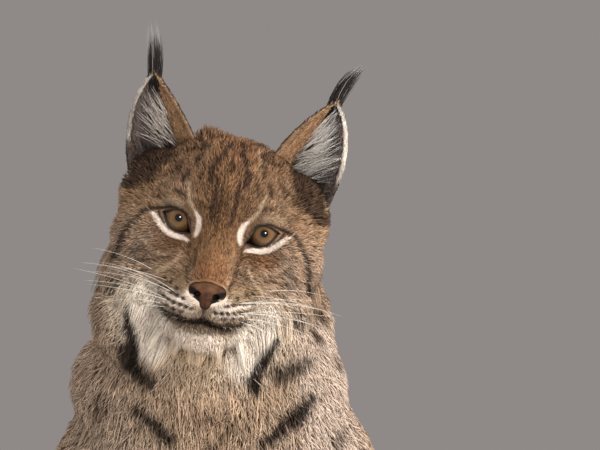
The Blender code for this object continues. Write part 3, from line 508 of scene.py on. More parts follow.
def makeEar(side):
    bm = bmesh.new()
    bmesh.ops.create_grid(bm, x_segments=ears["columns"], y_segments=ears["rows"], size=1)
    for vertex in bm.verts:
        height = ears["foot"] + (ears["top"] - ears["foot"]) * (vertex.co.y + 1) / 2
        vertex.co = headPoint(leafPlace(vertex.co.x, height, side))
    bmesh.ops.recalc_face_normals(bm, faces=bm.faces)
    ear = objectOf("ear", bm)
    wall = ear.modifiers.new("wall", "SOLIDIFY")
    wall.thickness = ears["wall"] * mm
    wall.offset = 0
    return finished(ear)


def openingPoints(side, steps=10):  # the almond between the lids, as (side, up) in millimetres
    curve = bpy.data.curves.new("almond", "CURVE")
    curve.resolution_u = steps
    spline = curve.splines.new("BEZIER")
    spline.bezier_points.add(3)
    for point, (across, up) in zip(spline.bezier_points, eyes["opening"]):
        point.co = (across * side, up, 0)
    for i, point in enumerate(spline.bezier_points):
        point.handle_left_type = point.handle_right_type = "AUTO" if i % 2 else "VECTOR"
    spline.use_cyclic_u = True
    line = bpy.data.objects.new("almond", curve)
    scene.collection.objects.link(line)
    bpy.context.view_layer.update()
    mesh = line.to_mesh()
    found = [(vertex.co.x, vertex.co.y) for vertex in mesh.vertices]
    line.to_mesh_clear()
    bpy.data.objects.remove(line)
    return found


def openingCutter(side):
    bm = bmesh.new()
    ring = [bm.verts.new(headPoint((across, 3, up))) for across, up in openingPoints(side)]
    face = bm.faces.new(ring)
    made = bmesh.ops.extrude_face_region(bm, geom=[face])
    ahead = headPoint((0, 30, 0)) - headPoint((0, 3, 0))
    bmesh.ops.translate(bm, verts=[v for v in made["geom"] if isinstance(v, bmesh.types.BMVert)], vec=ahead)
    bmesh.ops.recalc_face_normals(bm, faces=bm.faces)
    return objectOf("opening", bm)


def mouthHeight(across):
    share = min(1.0, abs(across) / mouth["corner"][0])
    return mouth["middle"][1] + (mouth["corner"][1] - mouth["middle"][1]) * share ** 2


def treeOf(obj):
    return BVHTree.FromObject(obj, bpy.context.evaluated_depsgraph_get())


def frontOf(tree, across, up):  # the surface seen from the front
    hit = tree.ray_cast(headPoint((across, 120, up)), headDirection((0, -1, 0)))
    return hit[0], hit[1]


def tubeAlong(name, places, thick, cyclic=False, resolution=3):
    curve = bpy.data.curves.new(name, "CURVE")
    curve.dimensions = "3D"
    curve.bevel_depth = 1
    curve.bevel_resolution = resolution
    curve.use_fill_caps = not cyclic
    spline = curve.splines.new("POLY")
    spline.points.add(len(places) - 1)
    for i, (point, place) in enumerate(zip(spline.points, places)):
        point.co = (*place, 1)
        point.radius = thick(i / (len(places) - 1)) if callable(thick) else thick
    spline.use_cyclic_u = cyclic
    line = bpy.data.objects.new(name, curve)
    scene.collection.objects.link(line)
    bpy.context.view_layer.update()
    mesh = bpy.data.meshes.new_from_object(line.evaluated_get(bpy.context.evaluated_depsgraph_get()))
    bpy.data.objects.remove(line)
    bm = bmesh.new()
    bm.from_mesh(mesh)
    bmesh.ops.remove_doubles(bm, verts=bm.verts, dist=0.000005)
    bmesh.ops.recalc_face_normals(bm, faces=bm.faces)
    return objectOf(name, bm)


def makeSkin():
    skin = makeHead()
    for side in (1, -1):
        bm = bmesh.new()
        addBall(bm, (eyes["side"] * side, 0, 0), (eyes["socket"],) * 3, True, 48)
        cut(skin, "DIFFERENCE", objectOf("socket", bm))
        cut(skin, "DIFFERENCE", openingCutter(side))
    tree = treeOf(skin)
    steps = range(-mouth["grooveReach"], mouth["grooveReach"] + 1, mouth["grooveStep"])
    places = [frontOf(tree, x, mouthHeight(x))[0] for x in steps]
    cut(skin, "DIFFERENCE", tubeAlong("groove", [p for p in places if p], mouth["groove"] * mm))
    print("head skin", len(skin.data.polygons))
    trunk = makeBody()
    for at in (paws["fore"], paws["hind"]):
        for side in (1, -1):
            cut(trunk, "UNION", makePaw(at, side))
    cut(skin, "UNION", trunk)
    for side in (1, -1):
        cut(skin, "UNION", makeEar(side))
    points = vertexArray(skin.data)
    points[:, 2] = np.maximum(points[:, 2], bodyForms["offFloor"] * mm)
    setVertices(skin.data, points)
    skin.data.shade_smooth()
    print("whole skin", len(skin.data.polygons))
    return skin


def unwrap(obj):
    bpy.ops.object.select_all(action="DESELECT")
    bpy.context.view_layer.objects.active = obj
    obj.select_set(True)
    layer = obj.data.uv_layers.new(name="OFBake")
    obj.data.uv_layers.active = layer
    bpy.ops.object.mode_set(mode="EDIT")
    bpy.ops.mesh.select_all(action="SELECT")
    bpy.ops.uv.smart_project(angle_limit=math.radians(66), island_margin=0.002)
    bpy.ops.object.mode_set(mode="OBJECT")
    obj.select_set(False)


# Ear leaves as arrays, to know which part of an ear a place is on
def earMap():
    rows = []
    acrossSteps, heightSteps = np.linspace(-1, 1, 25), np.linspace(ears["foot"], ears["top"], 41)
    for side in (1, -1):
        grid = np.array([[headPoint(leafPlace(a, h, side)) for a in acrossSteps] for h in heightSteps])
        upward, sideways = np.gradient(grid, axis=0), np.gradient(grid, axis=1)
        facing = unit(np.cross(sideways, upward)) * -side
        front = np.array(headDirection((0, 1, 0)))
        facing *= np.sign((facing @ front).mean())
        for i, height in enumerate(heightSteps):
            for j, across in enumerate(acrossSteps):
                rows.append((*grid[i, j], *facing[i, j], *unit(upward)[i, j], across, height, side))
    rows = np.array(rows)
    return rows, nearTree(rows[:, :3])


earRows, earTree = earMap()


def earAt(points):  # for each place: on an ear or not, inside its cup or not, and its row of the map
    local = inHead(points)
    near = np.flatnonzero((local[:, 2] > 8) & (abs(local[:, 0]) > 22) & (local[:, 1] < 0))
    on, inside, row = np.zeros(len(points), bool), np.zeros(len(points), bool), np.zeros(len(points), int)
    for i in near:
        _, found, away = earTree.find(points[i])
        if away < ears["near"] * mm:
            on[i], row[i] = True, found
            inside[i] = (points[i] - earRows[found, :3]) @ earRows[found, 3:6] > 0
    return on, inside, row


tones = {
    # Two of these tones paint light and shade: one is painted light on the neck's +x side, one is painted
    # shade under the +x eye.
    "white": (0.9, 0.765, 0.665), "cream": (0.92, 0.81, 0.7), "ash": (0.74, 0.61, 0.52),
    "pale": (0.58, 0.43, 0.29), "tan": (0.36, 0.24, 0.14), "grey": (0.2, 0.165, 0.14),
    "rust": (0.29, 0.148, 0.07), "umber": (0.1, 0.036, 0.01), "brown": (0.11, 0.06, 0.034),
    "dark": (0.062, 0.036, 0.023), "black": (0.03, 0.021, 0.017),
}

# Marks seen from the front, mirrored: tone, softness, strength, then (side, up, width) along each
faceMarks = (
    ("pale", 2.0, 0.7, (20.5, 9, 2.8), (24, 13, 3.6), (27, 18, 3.4), (28.5, 24, 3.0), (30, 31, 2.0)),
    ("pale", 2.5, 0.5, (33, 14, 5), (42, 15, 6), (50, 12, 3)),
    ("dark", 1.4, 0.9, (31, 20, 2.8), (35, 22.5, 3.4), (39, 22, 2.2)),
    ("brown", 1.2, 0.7, (50, 14.5, 1.6), (56, 18, 2.2), (60, 24, 1.6)),
    ("dark", 1.2, 0.9, (7, 4, 3.0), (8.5, 12, 4.2), (8.5, 22, 3.4), (9, 31, 3.2), (9.5, 38, 2.4)),
    ("dark", 1.4, 0.4, (3, -6, 3.0), (3.5, 2, 4.0), (3, 12, 4.0), (3, 24, 2.8)),
    ("dark", 1.2, 1.0, (12.5, 33, 2.8), (14.5, 37.5, 4.4), (14.5, 44, 4.8), (12.5, 48, 2.8)),
    ("dark", 1.0, 1.0, (5, 66, 2.4), (8, 59, 3.6), (10.5, 52, 3.8), (12.5, 49, 2.4)),
    ("dark", 1.0, 0.95, (2, 70, 2.2), (5, 63, 2.8), (6.5, 56, 2.2)),
    ("dark", 1.0, 0.9, (0, 60, 1.8), (1, 52, 2.6), (2, 45, 2.0)),
    ("dark", 1.2, 0.95, (24, 56, 2.4), (26.5, 50, 3.8), (27, 45, 2.6)),
    ("dark", 1.2, 0.95, (20, 46, 2.2), (22, 40, 3.0), (22.5, 35, 2.2)),
    ("dark", 1.2, 0.95, (31, 41, 2.4), (33, 36, 4.0), (35, 31, 2.6)),
    ("dark", 1.2, 0.85, (38, 47, 2.2), (41, 41, 3.0), (46, 36, 2.2)),
    ("dark", 1.2, 0.75, (48, 36, 2.2), (54, 31, 3.0), (60, 24, 2.0)),
    ("dark", 1.0, 1.0, (20, 60.5, 2.4), (28, 58.5, 3.6), (37, 57, 2.6)),
    ("dark", 1.0, 0.95, (31, 68, 2.4), (25, 63, 3.4), (19, 61, 2.4)),
    ("dark", 1.0, 0.9, (13, 70, 2.4), (20, 70, 3.0), (28, 73, 2.4)),
    ("tan", 1.5, 0.5, (17, 64, 2.0), (22, 56, 2.4), (20, 50, 2.0)),
    ("rust", 4.0, 0.5, (0, -16, 14), (0, -28, 22), (0, -38, 24)),
    ("dark", 1.4, 0.75, (18.5, -26, 1.4), (19, -33, 2.4), (18, -40, 2.8), (15, -47, 2.6)),
    ("brown", 1.2, 0.85, (21.5, -8, 2.6), (20.5, -13, 3.0), (20.5, -18, 2.6), (19.5, -25, 1.6)),
    ("brown", 1.0, 0.8, (25, -14.6, 1.4), (34, -14.2, 1.6), (42, -11.8, 1.6), (50, -5.5, 1.6),
     (55, -0.5, 1.4)),
    ("pale", 1.2, 0.9, (42, -43, 3.0), (37, -37.5, 3.0), (30, -31, 2.2), (25, -22, 1.6)),
    ("brown", 1.2, 0.85, (42, -33, 2.0), (52, -33.5, 2.8), (62, -36, 2.0)),
    ("brown", 1.2, 0.85, (46, -25, 1.8), (56, -25, 2.6), (66, -28, 1.8)),
    ("brown", 1.2, 0.8, (48, -41, 2.0), (58, -43, 2.8), (68, -46, 2.0)),
    ("grey", 3.0, 0.45, (54, -14, 6), (60, -24, 9), (62, -36, 8)),
    ("black", 1.2, 0.9, (62, 2, 2.8), (65, -4, 3.2), (70, -10, 3.4), (73, -16, 4.0), (75, -27, 4.8),
     (78, -38, 4.0)),
    ("dark", 4.0, 1.0, (52, 53, 14), (60, 47, 24), (69, 38, 30), (77, 26, 20)),
    ("cream", 3.5, 0.9, (48, -60, 20), (44, -75, 26), (37, -90, 28), (34, -101, 21), (34, -107, 9)),
    ("pale", 3.0, 0.6, (0, -102, 32), (0, -111, 36)),
    ("black", 1.8, 1.0, (60, -74, 3.0), (57, -82, 6.0), (53, -92, 8.0), (50, -100, 9.0),
     (47, -110, 10.0), (50, -118, 8.0)),
    ("black", 1.2, 0.95, (68, -52, 2.6), (79, -55, 3.6)),
    ("black", 1.2, 0.95, (70, -58, 2.6), (77, -62, 3.6)),
    ("black", 1.2, 0.9, (71, -63, 2.4), (76, -68, 3.2)),
    ("brown", 1.2, 0.6, (60, -19, 1.4), (53, -27.6, 2.0), (42, -31, 2.0), (34, -28.5, 1.2)),
    ("pale", 1.2, 0.6, (58.7, -15.7, 1.6), (52.3, -24.3, 2.2), (41.8, -27.6, 2.0), (34.5, -24.9, 1.4)),
    ("tan", 2.5, 0.7, (18, -47, 6), (28, -45, 8), (38, -42, 6)),
    ("white", 2.0, 0.75, (6, -57, 6), (14, -55, 8), (20, -58, 6)),
    ("white", 1.0, 0.95, (10, -61, 2.4), (22, -58.5, 2.6), (34, -54.5, 2.6), (42, -51, 2)),
    ("white", 1.0, 0.95, (8, -65.5, 2.6), (20, -64.8, 2.8), (30, -62, 2.8), (38, -58.5, 2)),
    ("brown", 0.8, 0.8, (8, -63.2, 1.4), (20, -61.8, 1.6), (36, -57, 1.4)),
    ("brown", 0.8, 0.7, (15, -57, 1.4), (26, -53.6, 1.6), (38, -50.8, 1.4)),
    ("brown", 0.8, 0.7, (14, -67.4, 1.4), (24, -66, 1.6), (33, -63, 1.2)),
    ("white", 3.0, 0.75, (0, -88.5, 14), (14, -88, 13)),
    ("brown", 2.0, 0.72, (0, -78, 7), (12, -78, 7), (22, -76, 6), (30, -72, 4)),
    ("black", 1.2, 1.0, (0, -71.9, 5.4), (8, -73.6, 6.0), (18, -73.6, 6.0), (28, -70.8, 5.4), (34, -67, 3.6)),
    ("dark", 1.0, 0.85, (0, -62, 3.0), (0, -71, 3.0)),
    ("black", 0.8, 0.95, (21.5, -7.5, 2.0), (24, 2.5, 2.0), (28, 7.4, 2.4), (34, 9.6, 2.6),
     (41, 9.4, 2.6), (47, 8.0, 2.6), (53, 6.6, 3.0), (58, 5, 3.2), (62, 2, 3.0)),
    ("black", 0.8, 0.95, (21.5, -7.5, 2.0), (28, -9.0, 1.8), (34, -9.2, 1.8), (41, -6.4, 1.8),
     (47.5, 1, 1.8), (49, 5, 1.8)),
    ("white", 1.0, 1.0, (22.5, -12.8, 2.2), (27, -12.0, 3.2), (34, -11.4, 3.8), (40, -9.4, 4.0),
     (45.5, -5.0, 4.0), (50, 0.0, 3.6), (54, 3.6, 1.6)),
    ("white", 1.0, 1.0, (20.2, 9, 2.4), (17.4, 5, 4.0), (16.2, 0, 4.6), (16.4, -4.6, 4.0), (17.8, -8.6, 2.2)),
)

# Marks on one side only, the same way; the first is painted shade under one eye, not a mark
loneMarks = (
    # painted shade under the eye on the +x side, on that side only
    ("umber", 4.0, 0.45, (26, -19.5, 9), (36, -21, 12), (47, -16, 9)),
    ("brown", 4.0, 0.55, (-86, -60, 5), (-82, -76, 8), (-78, -92, 8)),
    ("dark", 2.0, 0.5, (-2, 4, 5.0), (-4.5, 14, 8.0), (-4.5, 26, 7.0), (-4, 33, 3.0)),
    ("dark", 2.0, 0.95, (84, -50, 4.0), (93, -55, 6.5)),
    ("dark", 2.0, 0.95, (83, -65, 4.0), (93, -71, 6.5)),
)

# Rows of dark dots on the whisker pads: (side, up), mirrored
padDots = {
    "places": (
        (35, -44.5), (29.5, -46.8), (24, -49.8), (37, -51.5), (32, -51.8), (27, -53.5), (22, -55.2),
        (17, -57.0), (33.5, -58.6), (28.5, -60), (24, -61.2), (19, -62.4), (14, -63.2), (9.5, -63.8),
        (29, -64.6), (23, -66.4), (17, -67.2),
    ),
    "across": 3.5, "soft": 0.5, "strength": 0.9, "ahead": 10,
}

# Marks on the front of the neck and chest, with painted light on the neck's +x side: tone, softness (mm),
# strength, then (x, z, width in mm)
chestMarks = (
    # painted light: a pale patch on the +x side of the neck only, where the side light falls
    ("ash", 16, 0.5, (0.082, 0.625, 40), (0.098, 0.58, 60), (0.105, 0.54, 60)),
    ("black", 3, 1.0, (-0.06, 0.579, 8), (-0.045, 0.567, 12), (-0.031, 0.554, 8)),
    ("black", 3, 1.0, (0.0765, 0.589, 8), (0.06, 0.571, 14), (0.039, 0.553, 9)),
    ("black", 4, 0.95, (-0.07, 0.625, 13), (-0.058, 0.607, 17), (-0.05, 0.6, 13)),
    ("black", 4, 0.85, (0.0515, 0.6045, 9), (0.0625, 0.611, 13), (0.0745, 0.6155, 9)),
    ("brown", 5, 0.5, (-0.014, 0.574, 8), (0.004, 0.57, 9), (0.022, 0.566, 7)),
    ("dark", 4, 0.7, (-0.0895, 0.588, 6), (-0.09, 0.57, 7)),
    ("dark", 4, 0.7, (0.098, 0.616, 8), (0.102, 0.61, 8)),
    ("dark", 4, 0.7, (0.098, 0.56, 9), (0.098, 0.55, 9)),
    ("brown", 5, 0.6, (0.01, 0.56, 8), (-0.005, 0.546, 9)),
    ("dark", 5, 0.7, (-0.03, 0.52, 9), (-0.012, 0.506, 9)),
    ("dark", 5, 0.7, (0.028, 0.515, 9), (0.012, 0.5, 9)),
    ("dark", 5, 0.7, (-0.07, 0.525, 9), (-0.056, 0.506, 10)),
    ("dark", 5, 0.7, (0.072, 0.52, 9), (0.058, 0.5, 10)),
    ("dark", 5, 0.6, (-0.035, 0.462, 9), (-0.02, 0.448, 9)),
    ("dark", 5, 0.6, (0.038, 0.455, 9), (0.024, 0.44, 9)),
)

lightRamp = {"low": 0.78, "high": 1.2}


def cloud(points, size, seed):  # smooth random values from -1 to 1, in patches of that size
    table = np.random.default_rng(seed).uniform(-1, 1, 4096)
    grid = points / size
    base = np.floor(grid).astype(np.int64)
    part = grid - base
    part = part * part * (3 - 2 * part)
    total = np.zeros(len(points))
    for corner in range(8):
        step = np.array([corner & 1, corner >> 1 & 1, corner >> 2 & 1])
        cell = base + step
        hashed = (cell[:, 0] * 73856093 ^ cell[:, 1] * 19349663 ^ cell[:, 2] * 83492791) % 4096
        share = np.where(step, part, 1 - part).prod(axis=1)
        total += table[hashed] * share
    return total


def strokeShare(flat, stroke, soft):  # how far each flat place lies inside a stroke, from 0 to 1
    best = np.full(len(flat), -np.inf)
    for start, end in zip(stroke, stroke[1:]):
        share, away = alongLine(flat, np.array(start[:2]), np.array(end[:2]))
        width = start[2] + (end[2] - start[2]) * share
        best = np.maximum(best, width / 2 - away)
    return np.clip(best / soft + 0.5, 0, 1)


def painted(colour, share, tone):
    return blend(colour, share[:, None], tones[tone])


def swayed(points, patch, seeds):  # a smooth random shift for each place
    return np.stack([cloud(points, patch, seed) for seed in seeds], axis=1)


# Where the marks go. Patches are in metres, the face's other sizes in millimetres.
painting = {
    "mottle": ((0.22, 0.009, 3), (0.3, 0.0032, 4)),  # strength, patch, seed
    "bodyBelow": 0.66,
    "chestFront": -0.3, "chestAbove": 0.4, "chestFade": 0.06,
    "chestSway": 0.003, "chestPatch": 0.012, "chestSeeds": (5, 6),
    "faceWide": 95, "faceBack": -62, "faceLow": -135, "facing": -0.2,
    "facePatch": 0.006, "faceSeeds": (7, 8), "faceSway": 1.3,
    "steadyAt": (33, 0), "steadyWithin": 16, "steadyFade": 20, "steadyLeast": 0.15,
}

# Dark spots on the flanks and legs, in metres
bodySpots = {
    "count": 230, "apart": 0.027, "radius": (0.0055, 0.01), "soft": 0.004, "long": 1.5, "strength": 0.75,
    "above": 0.03, "below": 0.47, "out": 0.055, "behind": 0.02, "paleFrom": 0.22,
}


def paintSpots(points, colour):
    share = np.zeros(len(points))
    for place, lie, size in spots:
        away = points - place
        along = away @ lie
        across = np.sqrt(np.maximum((away ** 2).sum(axis=1) - along ** 2, 0))
        reach = np.sqrt(across ** 2 + (along / bodySpots["long"]) ** 2)
        share = np.maximum(share, np.clip((size - reach) / bodySpots["soft"] + 0.5, 0, 1))
    return painted(colour, share * bodySpots["strength"], "dark")


def paintChest(points, colour):
    ahead = np.clip((painting["chestFront"] - points[:, 1]) / painting["chestFade"], 0, 1)
    sway = swayed(points, painting["chestPatch"], painting["chestSeeds"]) * painting["chestSway"]
    flat = points[:, [0, 2]] + sway
    for tone, soft, strength, *stroke in chestMarks:
        line = [(x, z, width * mm) for x, z, width in stroke]
        share = strokeShare(flat, line, soft * mm) * strength * ahead
        colour = painted(colour, share, tone)
    return colour


def paintFace(points, local, colour):
    mirrored = np.stack([abs(local[:, 0]), local[:, 2]], axis=1)
    sway = swayed(points, painting["facePatch"], painting["faceSeeds"])
    away = np.linalg.norm(mirrored - painting["steadyAt"], axis=1) - painting["steadyWithin"]
    steady = np.clip(away / painting["steadyFade"], painting["steadyLeast"], 1)[:, None]
    flat = mirrored + sway * steady * painting["faceSway"]
    for tone, soft, strength, *stroke in faceMarks:
        colour = painted(colour, strokeShare(flat, stroke, soft) * strength, tone)
    flat = local[:, [0, 2]] + sway
    for tone, soft, strength, *stroke in loneMarks:
        colour = painted(colour, strokeShare(flat, stroke, soft) * strength, tone)
    ahead = local[:, 1] > padDots["ahead"]
    for place in padDots["places"]:
        away = np.linalg.norm(mirrored - place, axis=1)
        share = np.clip((padDots["across"] / 2 - away) / padDots["soft"] + 0.5, 0, 1) * ahead
        colour = painted(colour, share * padDots["strength"], "black")
    return colour


def coatColour(points, facing, field):  # the coat's colour at each place, with its marks
    colour = field["colour"].copy()
    rough = 1
    for strength, patch, seed in painting["mottle"]:
        rough = rough + strength * cloud(points, patch, seed)
    colour *= rough[:, None]
    body = np.flatnonzero(points[:, 2] < painting["bodyBelow"])
    colour[body] = paintSpots(points[body], colour[body])
    front = (points[body, 1] < painting["chestFront"]) & (points[body, 2] > painting["chestAbove"])
    front = body[front]
    colour[front] = paintChest(points[front], colour[front])
    local = inHead(points)
    face = ~earAt(points)[0] & (facing > painting["facing"]) & (local[:, 2] > painting["faceLow"])
    face &= (abs(local[:, 0]) < painting["faceWide"]) & (local[:, 1] > painting["faceBack"])
    face = np.flatnonzero(face)
    colour[face] = paintFace(points[face], local[face], colour[face])
    side, behind, below = bodyForms["blackTail"]
    onTail = (points[:, 0] > side) & (points[:, 1] > behind) & (points[:, 2] < below)
    colour[onTail] = tones["black"]
    return colour


print("coat field", len(coatRows), "places")
skin = makeSkin()
unwrap(skin)
print("unwrapped")


# Nose leather
nose = {
    "middle": (((0, 50, -50), (13, 11, 9.5)), ((0, 50, -57), (6, 9, 6.5))),
    "wing": ((8.5, 49.5, -49.5), (6.5, 10, 7)),
    "nostril": ((7.2, 60, -51.5), (3.0, 5.0, 2.4)),
    "slit": ((11.5, 58, -53.5), (2.6, 5.0, 1.2)),
    "voxel": 0.55, "rounds": 12,
}


def makeNose():
    bm = bmesh.new()
    for centre, radii in nose["middle"]:
        addBall(bm, centre, radii, True)
    for flip in (tuple, flipped):
        addBall(bm, flip(nose["wing"][0]), nose["wing"][1], True)
    made = fused(objectOf("nose_leather", bm), nose["voxel"], nose["rounds"])
    for centre, radii in (nose["nostril"], nose["slit"]):
        for flip in (tuple, flipped):
            bm = bmesh.new()
            addBall(bm, flip(centre), radii, True, 24)
            cut(made, "DIFFERENCE", objectOf("pit", bm))
    made.data.shade_smooth()
    return made


noseLeather = makeNose()
noseTones = {
    "base": (0.066, 0.028, 0.013), "light": (0.098, 0.044, 0.021),
    "dark": (0.018, 0.01, 0.007), "black": (0.004, 0.003, 0.003),
}

# Marks on the leather, with painted shade in the nostrils, seen from the front, mirrored: tone, softness,
# strength, then (side, up, width)
noseMarks = (
    ("light", 3.0, 0.8, (0, -45.5, 8), (4, -46, 7)),
    ("dark", 1.4, 0.85, (0, -41.0, 1.8), (6, -41.3, 2.4), (11, -42.8, 3.0), (15, -46, 3.0)),
    # painted shade: black over the nostril openings, around the pits cut into the leather
    ("black", 1.4, 1.0, (14.5, -47.8, 3.0), (11, -49.6, 4.8), (8, -51.4, 5.0), (6, -55, 3.6),
     (5.4, -57.5, 2.0)),
    ("dark", 1.6, 0.75, (9.5, -56, 3.0), (5.5, -60, 3.4), (0, -63.5, 3.6)),
    ("dark", 1.0, 0.6, (0, -50, 0.9), (0, -58, 1.2), (0, -64, 1.6)),
)


def paintNose():
    local = inHead(vertexArray(noseLeather.data))
    flat = np.stack([abs(local[:, 0]), local[:, 2]], axis=1)
    colour = np.tile(noseTones["base"], (len(local), 1))
    for tone, soft, strength, *stroke in noseMarks:
        share = strokeShare(flat, stroke, soft)[:, None] * strength
        colour = blend(colour, share, noseTones[tone])
    colourPoints(noseLeather.data, "leatherColour", colour)


paintNose()
print("nose", len(noseLeather.data.polygons))


def makeEye(side, word):
    bm = bmesh.new()
    addBall(bm, (eyes["side"] * side, 0, 0), (eyes["radius"],) * 3, True, 96)
    centre, front = headPoint((eyes["side"] * side, 0, 0)), headDirection((0, 1, 0))
    for vertex in bm.verts:
        out = (vertex.co - centre).normalized()
        share = max(0.0, out.dot(front) - eyes["bulgeFrom"]) / (1 - eyes["bulgeFrom"])
        vertex.co += out * (eyes["bulge"] * mm * share)
    made = objectOf("eye_ball_" + word, bm)
    made.data.shade_smooth()
    return made


def makeRim(side, word):
    places = []
    for across, up in openingPoints(side):
        reach = min(math.hypot(across - eyes["side"] * side, up), eyes["rimReach"])
        places.append(headPoint((across, math.sqrt(eyes["rimRadius"] ** 2 - reach ** 2), up)))
    made = tubeAlong("eye_rim_" + word, places, eyes["rimThick"] * mm, True)
    made.data.shade_smooth()
    return made


eyeBalls = [makeEye(side, word) for side, word in ((1, "left"), (-1, "right"))]
eyeRims = [makeRim(side, word) for side, word in ((1, "left"), (-1, "right"))]


def makeLips():
    tree = treeOf(skin)
    places = []
    for x in range(-mouth["lipReach"], mouth["lipReach"] + 1, mouth["lipStep"]):
        place, out = frontOf(tree, x, mouthHeight(x) - mouth["lipDrop"])
        if place:
            places.append(place - out * mouth["lipSunk"] * mm)
    end = mouth["lipEnd"]
    made = tubeAlong(
        "lips", places, lambda s: mouth["lip"] * mm * (end + (1 - end) * math.sin(math.pi * s) ** 0.5),
    )
    made.data.shade_smooth()
    return made


lips = makeLips()
print("eyes and lips")


# The coat as solid tapered tufts
tufts = {
    "shortRings": ((0.0, 0.75), (0.5, 1.0)),
    "longRings": ((0.0, 0.65), (0.36, 1.0), (0.72, 0.82)),
    "longFrom": 12.5,  # millimetres
    "sunk": 0.7, "rise": 1.8, "flat": 0.55,
    "lengthSpread": 0.22, "turn": ((8, 13), (0.2, 0.34)), "roll": 0.5, "bend": 0.1,
    "clump": 0.3, "clumpShare": 0.07,
    "streak": 0.16, "paleEven": 0.92, "paleStreak": 0.7, "paleAt": 0.5, "colourAt": (0.15, 0.55, 0.95),
    "uneven": 0.33, "unevenMost": (-0.55, 0.75), "plainAt": 0.4, "plainEven": 0.72,
    "dim": 0.12, "dimBy": (0.42, 0.45), "lit": 0.13, "litBy": (1.6, 0.5), "oddPatch": (0.06, 0.004, 22),
    "sway": (0.28, 0.018, 21), "calmTurn": 0.6, "calmEven": 0.6,
    "depthSpread": (0.7, 1.08), "deepest": 0.7, "drawnMost": 0.45, "drawnPower": 1.6,
    # shades: painted shade along each tuft, darkest at the root deep in the coat and lighter at the tip,
    # partly the hairs' own darker roots
    "shades": ((0, 0.4, 0.75, 1), (0.62, 0.94, 1.08, 1.15)),  # along the tuft, from its root
    "profile": ((1, -0.35), (0, 0.7), (-1, -0.35)),
    "patch": 0.003, "offFloor": 0.3,
    "most": 195000,  # triangles in a piece
    "near": 0.93, "far": 1.02, "farBelow": 0.5,  # how far the tufts stand apart on the head and below
}


def strandMesh(name, lines, widths, ups, colours, uvs, shades, flat=tufts["flat"]):
    lines, ups, colours, uvs = (np.asarray(part) for part in (lines, ups, colours, uvs))
    count, steps = lines.shape[:2]
    rings = steps - 1
    ahead = unit(np.gradient(lines, axis=1))
    across = unit(np.cross(np.repeat(ups[:, None], steps, axis=1), ahead))
    rise = np.cross(ahead, across)
    profile = np.array(tufts["profile"])
    half = widths[:, :, None, None] / 2
    ring = (
        lines[:, :rings, None]
        + across[:, :rings, None] * profile[None, None, :, :1] * half
        + rise[:, :rings, None] * profile[None, None, :, 1:] * half * flat
    )
    verts = np.concatenate([ring.reshape(count, rings * 3, 3), lines[:, -1:]], axis=1)
    verts[:, :, 2] = np.maximum(verts[:, :, 2], tufts["offFloor"] * mm)
    faces = [(0, 2, 1)]
    for i in range(rings - 1):
        for k in range(3):
            a, b = i * 3 + k, i * 3 + (k + 1) % 3
            faces += [(a, b, b + 3), (a, b + 3, a + 3)]
    last = (rings - 1) * 3
    faces += [(last + k, last + (k + 1) % 3, rings * 3) for k in range(3)]
    faces = np.array(faces)
    every = (faces[None] + (np.arange(count) * (rings * 3 + 1))[:, None, None]).reshape(-1)
    mesh = bpy.data.meshes.new(name)
    mesh.vertices.add(count * (rings * 3 + 1))
    mesh.vertices.foreach_set("co", verts.astype(np.float32).ravel())
    mesh.loops.add(len(every))
    mesh.loops.foreach_set("vertex_index", every.astype(np.int32))
    mesh.polygons.add(len(every) // 3)
    mesh.polygons.foreach_set("loop_start", np.arange(0, len(every), 3, dtype=np.int32))
    mesh.update(calc_edges=True)
    mesh.shade_smooth()
    along = np.repeat(np.arange(rings) / rings, 3)
    patchU = np.append(np.tile((0.5, 0.0, -0.5), rings), 0) * tufts["patch"]
    patchV = np.append(along, 1) * tufts["patch"]
    uv = uvs[:, None] + np.stack([patchU, patchV], axis=1)[None]
    uv = np.clip(uv.reshape(-1, 2)[every], 0, 1)
    layer = mesh.uv_layers.new(name="OFBake")
    layer.data.foreach_set("uv", uv.astype(np.float32).ravel())
    # The shades darken each strand towards its root: painted shade inside the coat, with less of it on pale
    # fur.
    shade = np.append(np.repeat(shades[:rings], 3), shades[rings])
    if colours.ndim == 2:
        colours = np.repeat(colours[:, None], steps, axis=1)
    colours = np.concatenate([np.repeat(colours[:, :rings], 3, axis=1), colours[:, -1:]], axis=1)
    pale = np.clip(colours.mean(axis=2) / tufts["paleAt"], 0, 1)
    shade = shade[None] ** (1 - tufts["paleEven"] * pale)
    streak = np.tile(rng.normal(0, tufts["streak"], (count, 3)), rings)
    streak = streak * (1 - tufts["paleStreak"] * pale[:, :-1])
    streak = np.concatenate([1 + streak, np.ones((count, 1))], axis=1)
    colours = colours * (shade * streak)[:, :, None]
    colourPoints(mesh, "coatColour", colours.reshape(-1, 3))
    made = bpy.data.objects.new(name, mesh)
    scene.collection.objects.link(made)
    return made


def skinArrays():
    mesh = skin.data
    mesh.calc_loop_triangles()
    count = len(mesh.loop_triangles)
    corners, loops = np.empty(count * 3, np.int32), np.empty(count * 3, np.int32)
    mesh.loop_triangles.foreach_get("vertices", corners)
    mesh.loop_triangles.foreach_get("loops", loops)
    uv = np.empty(len(mesh.loops) * 2, np.float32)
    mesh.uv_layers["OFBake"].data.foreach_get("uv", uv)
    return corners.reshape(-1, 3), uv.reshape(-1, 2)[loops.reshape(-1, 3)].astype(float)


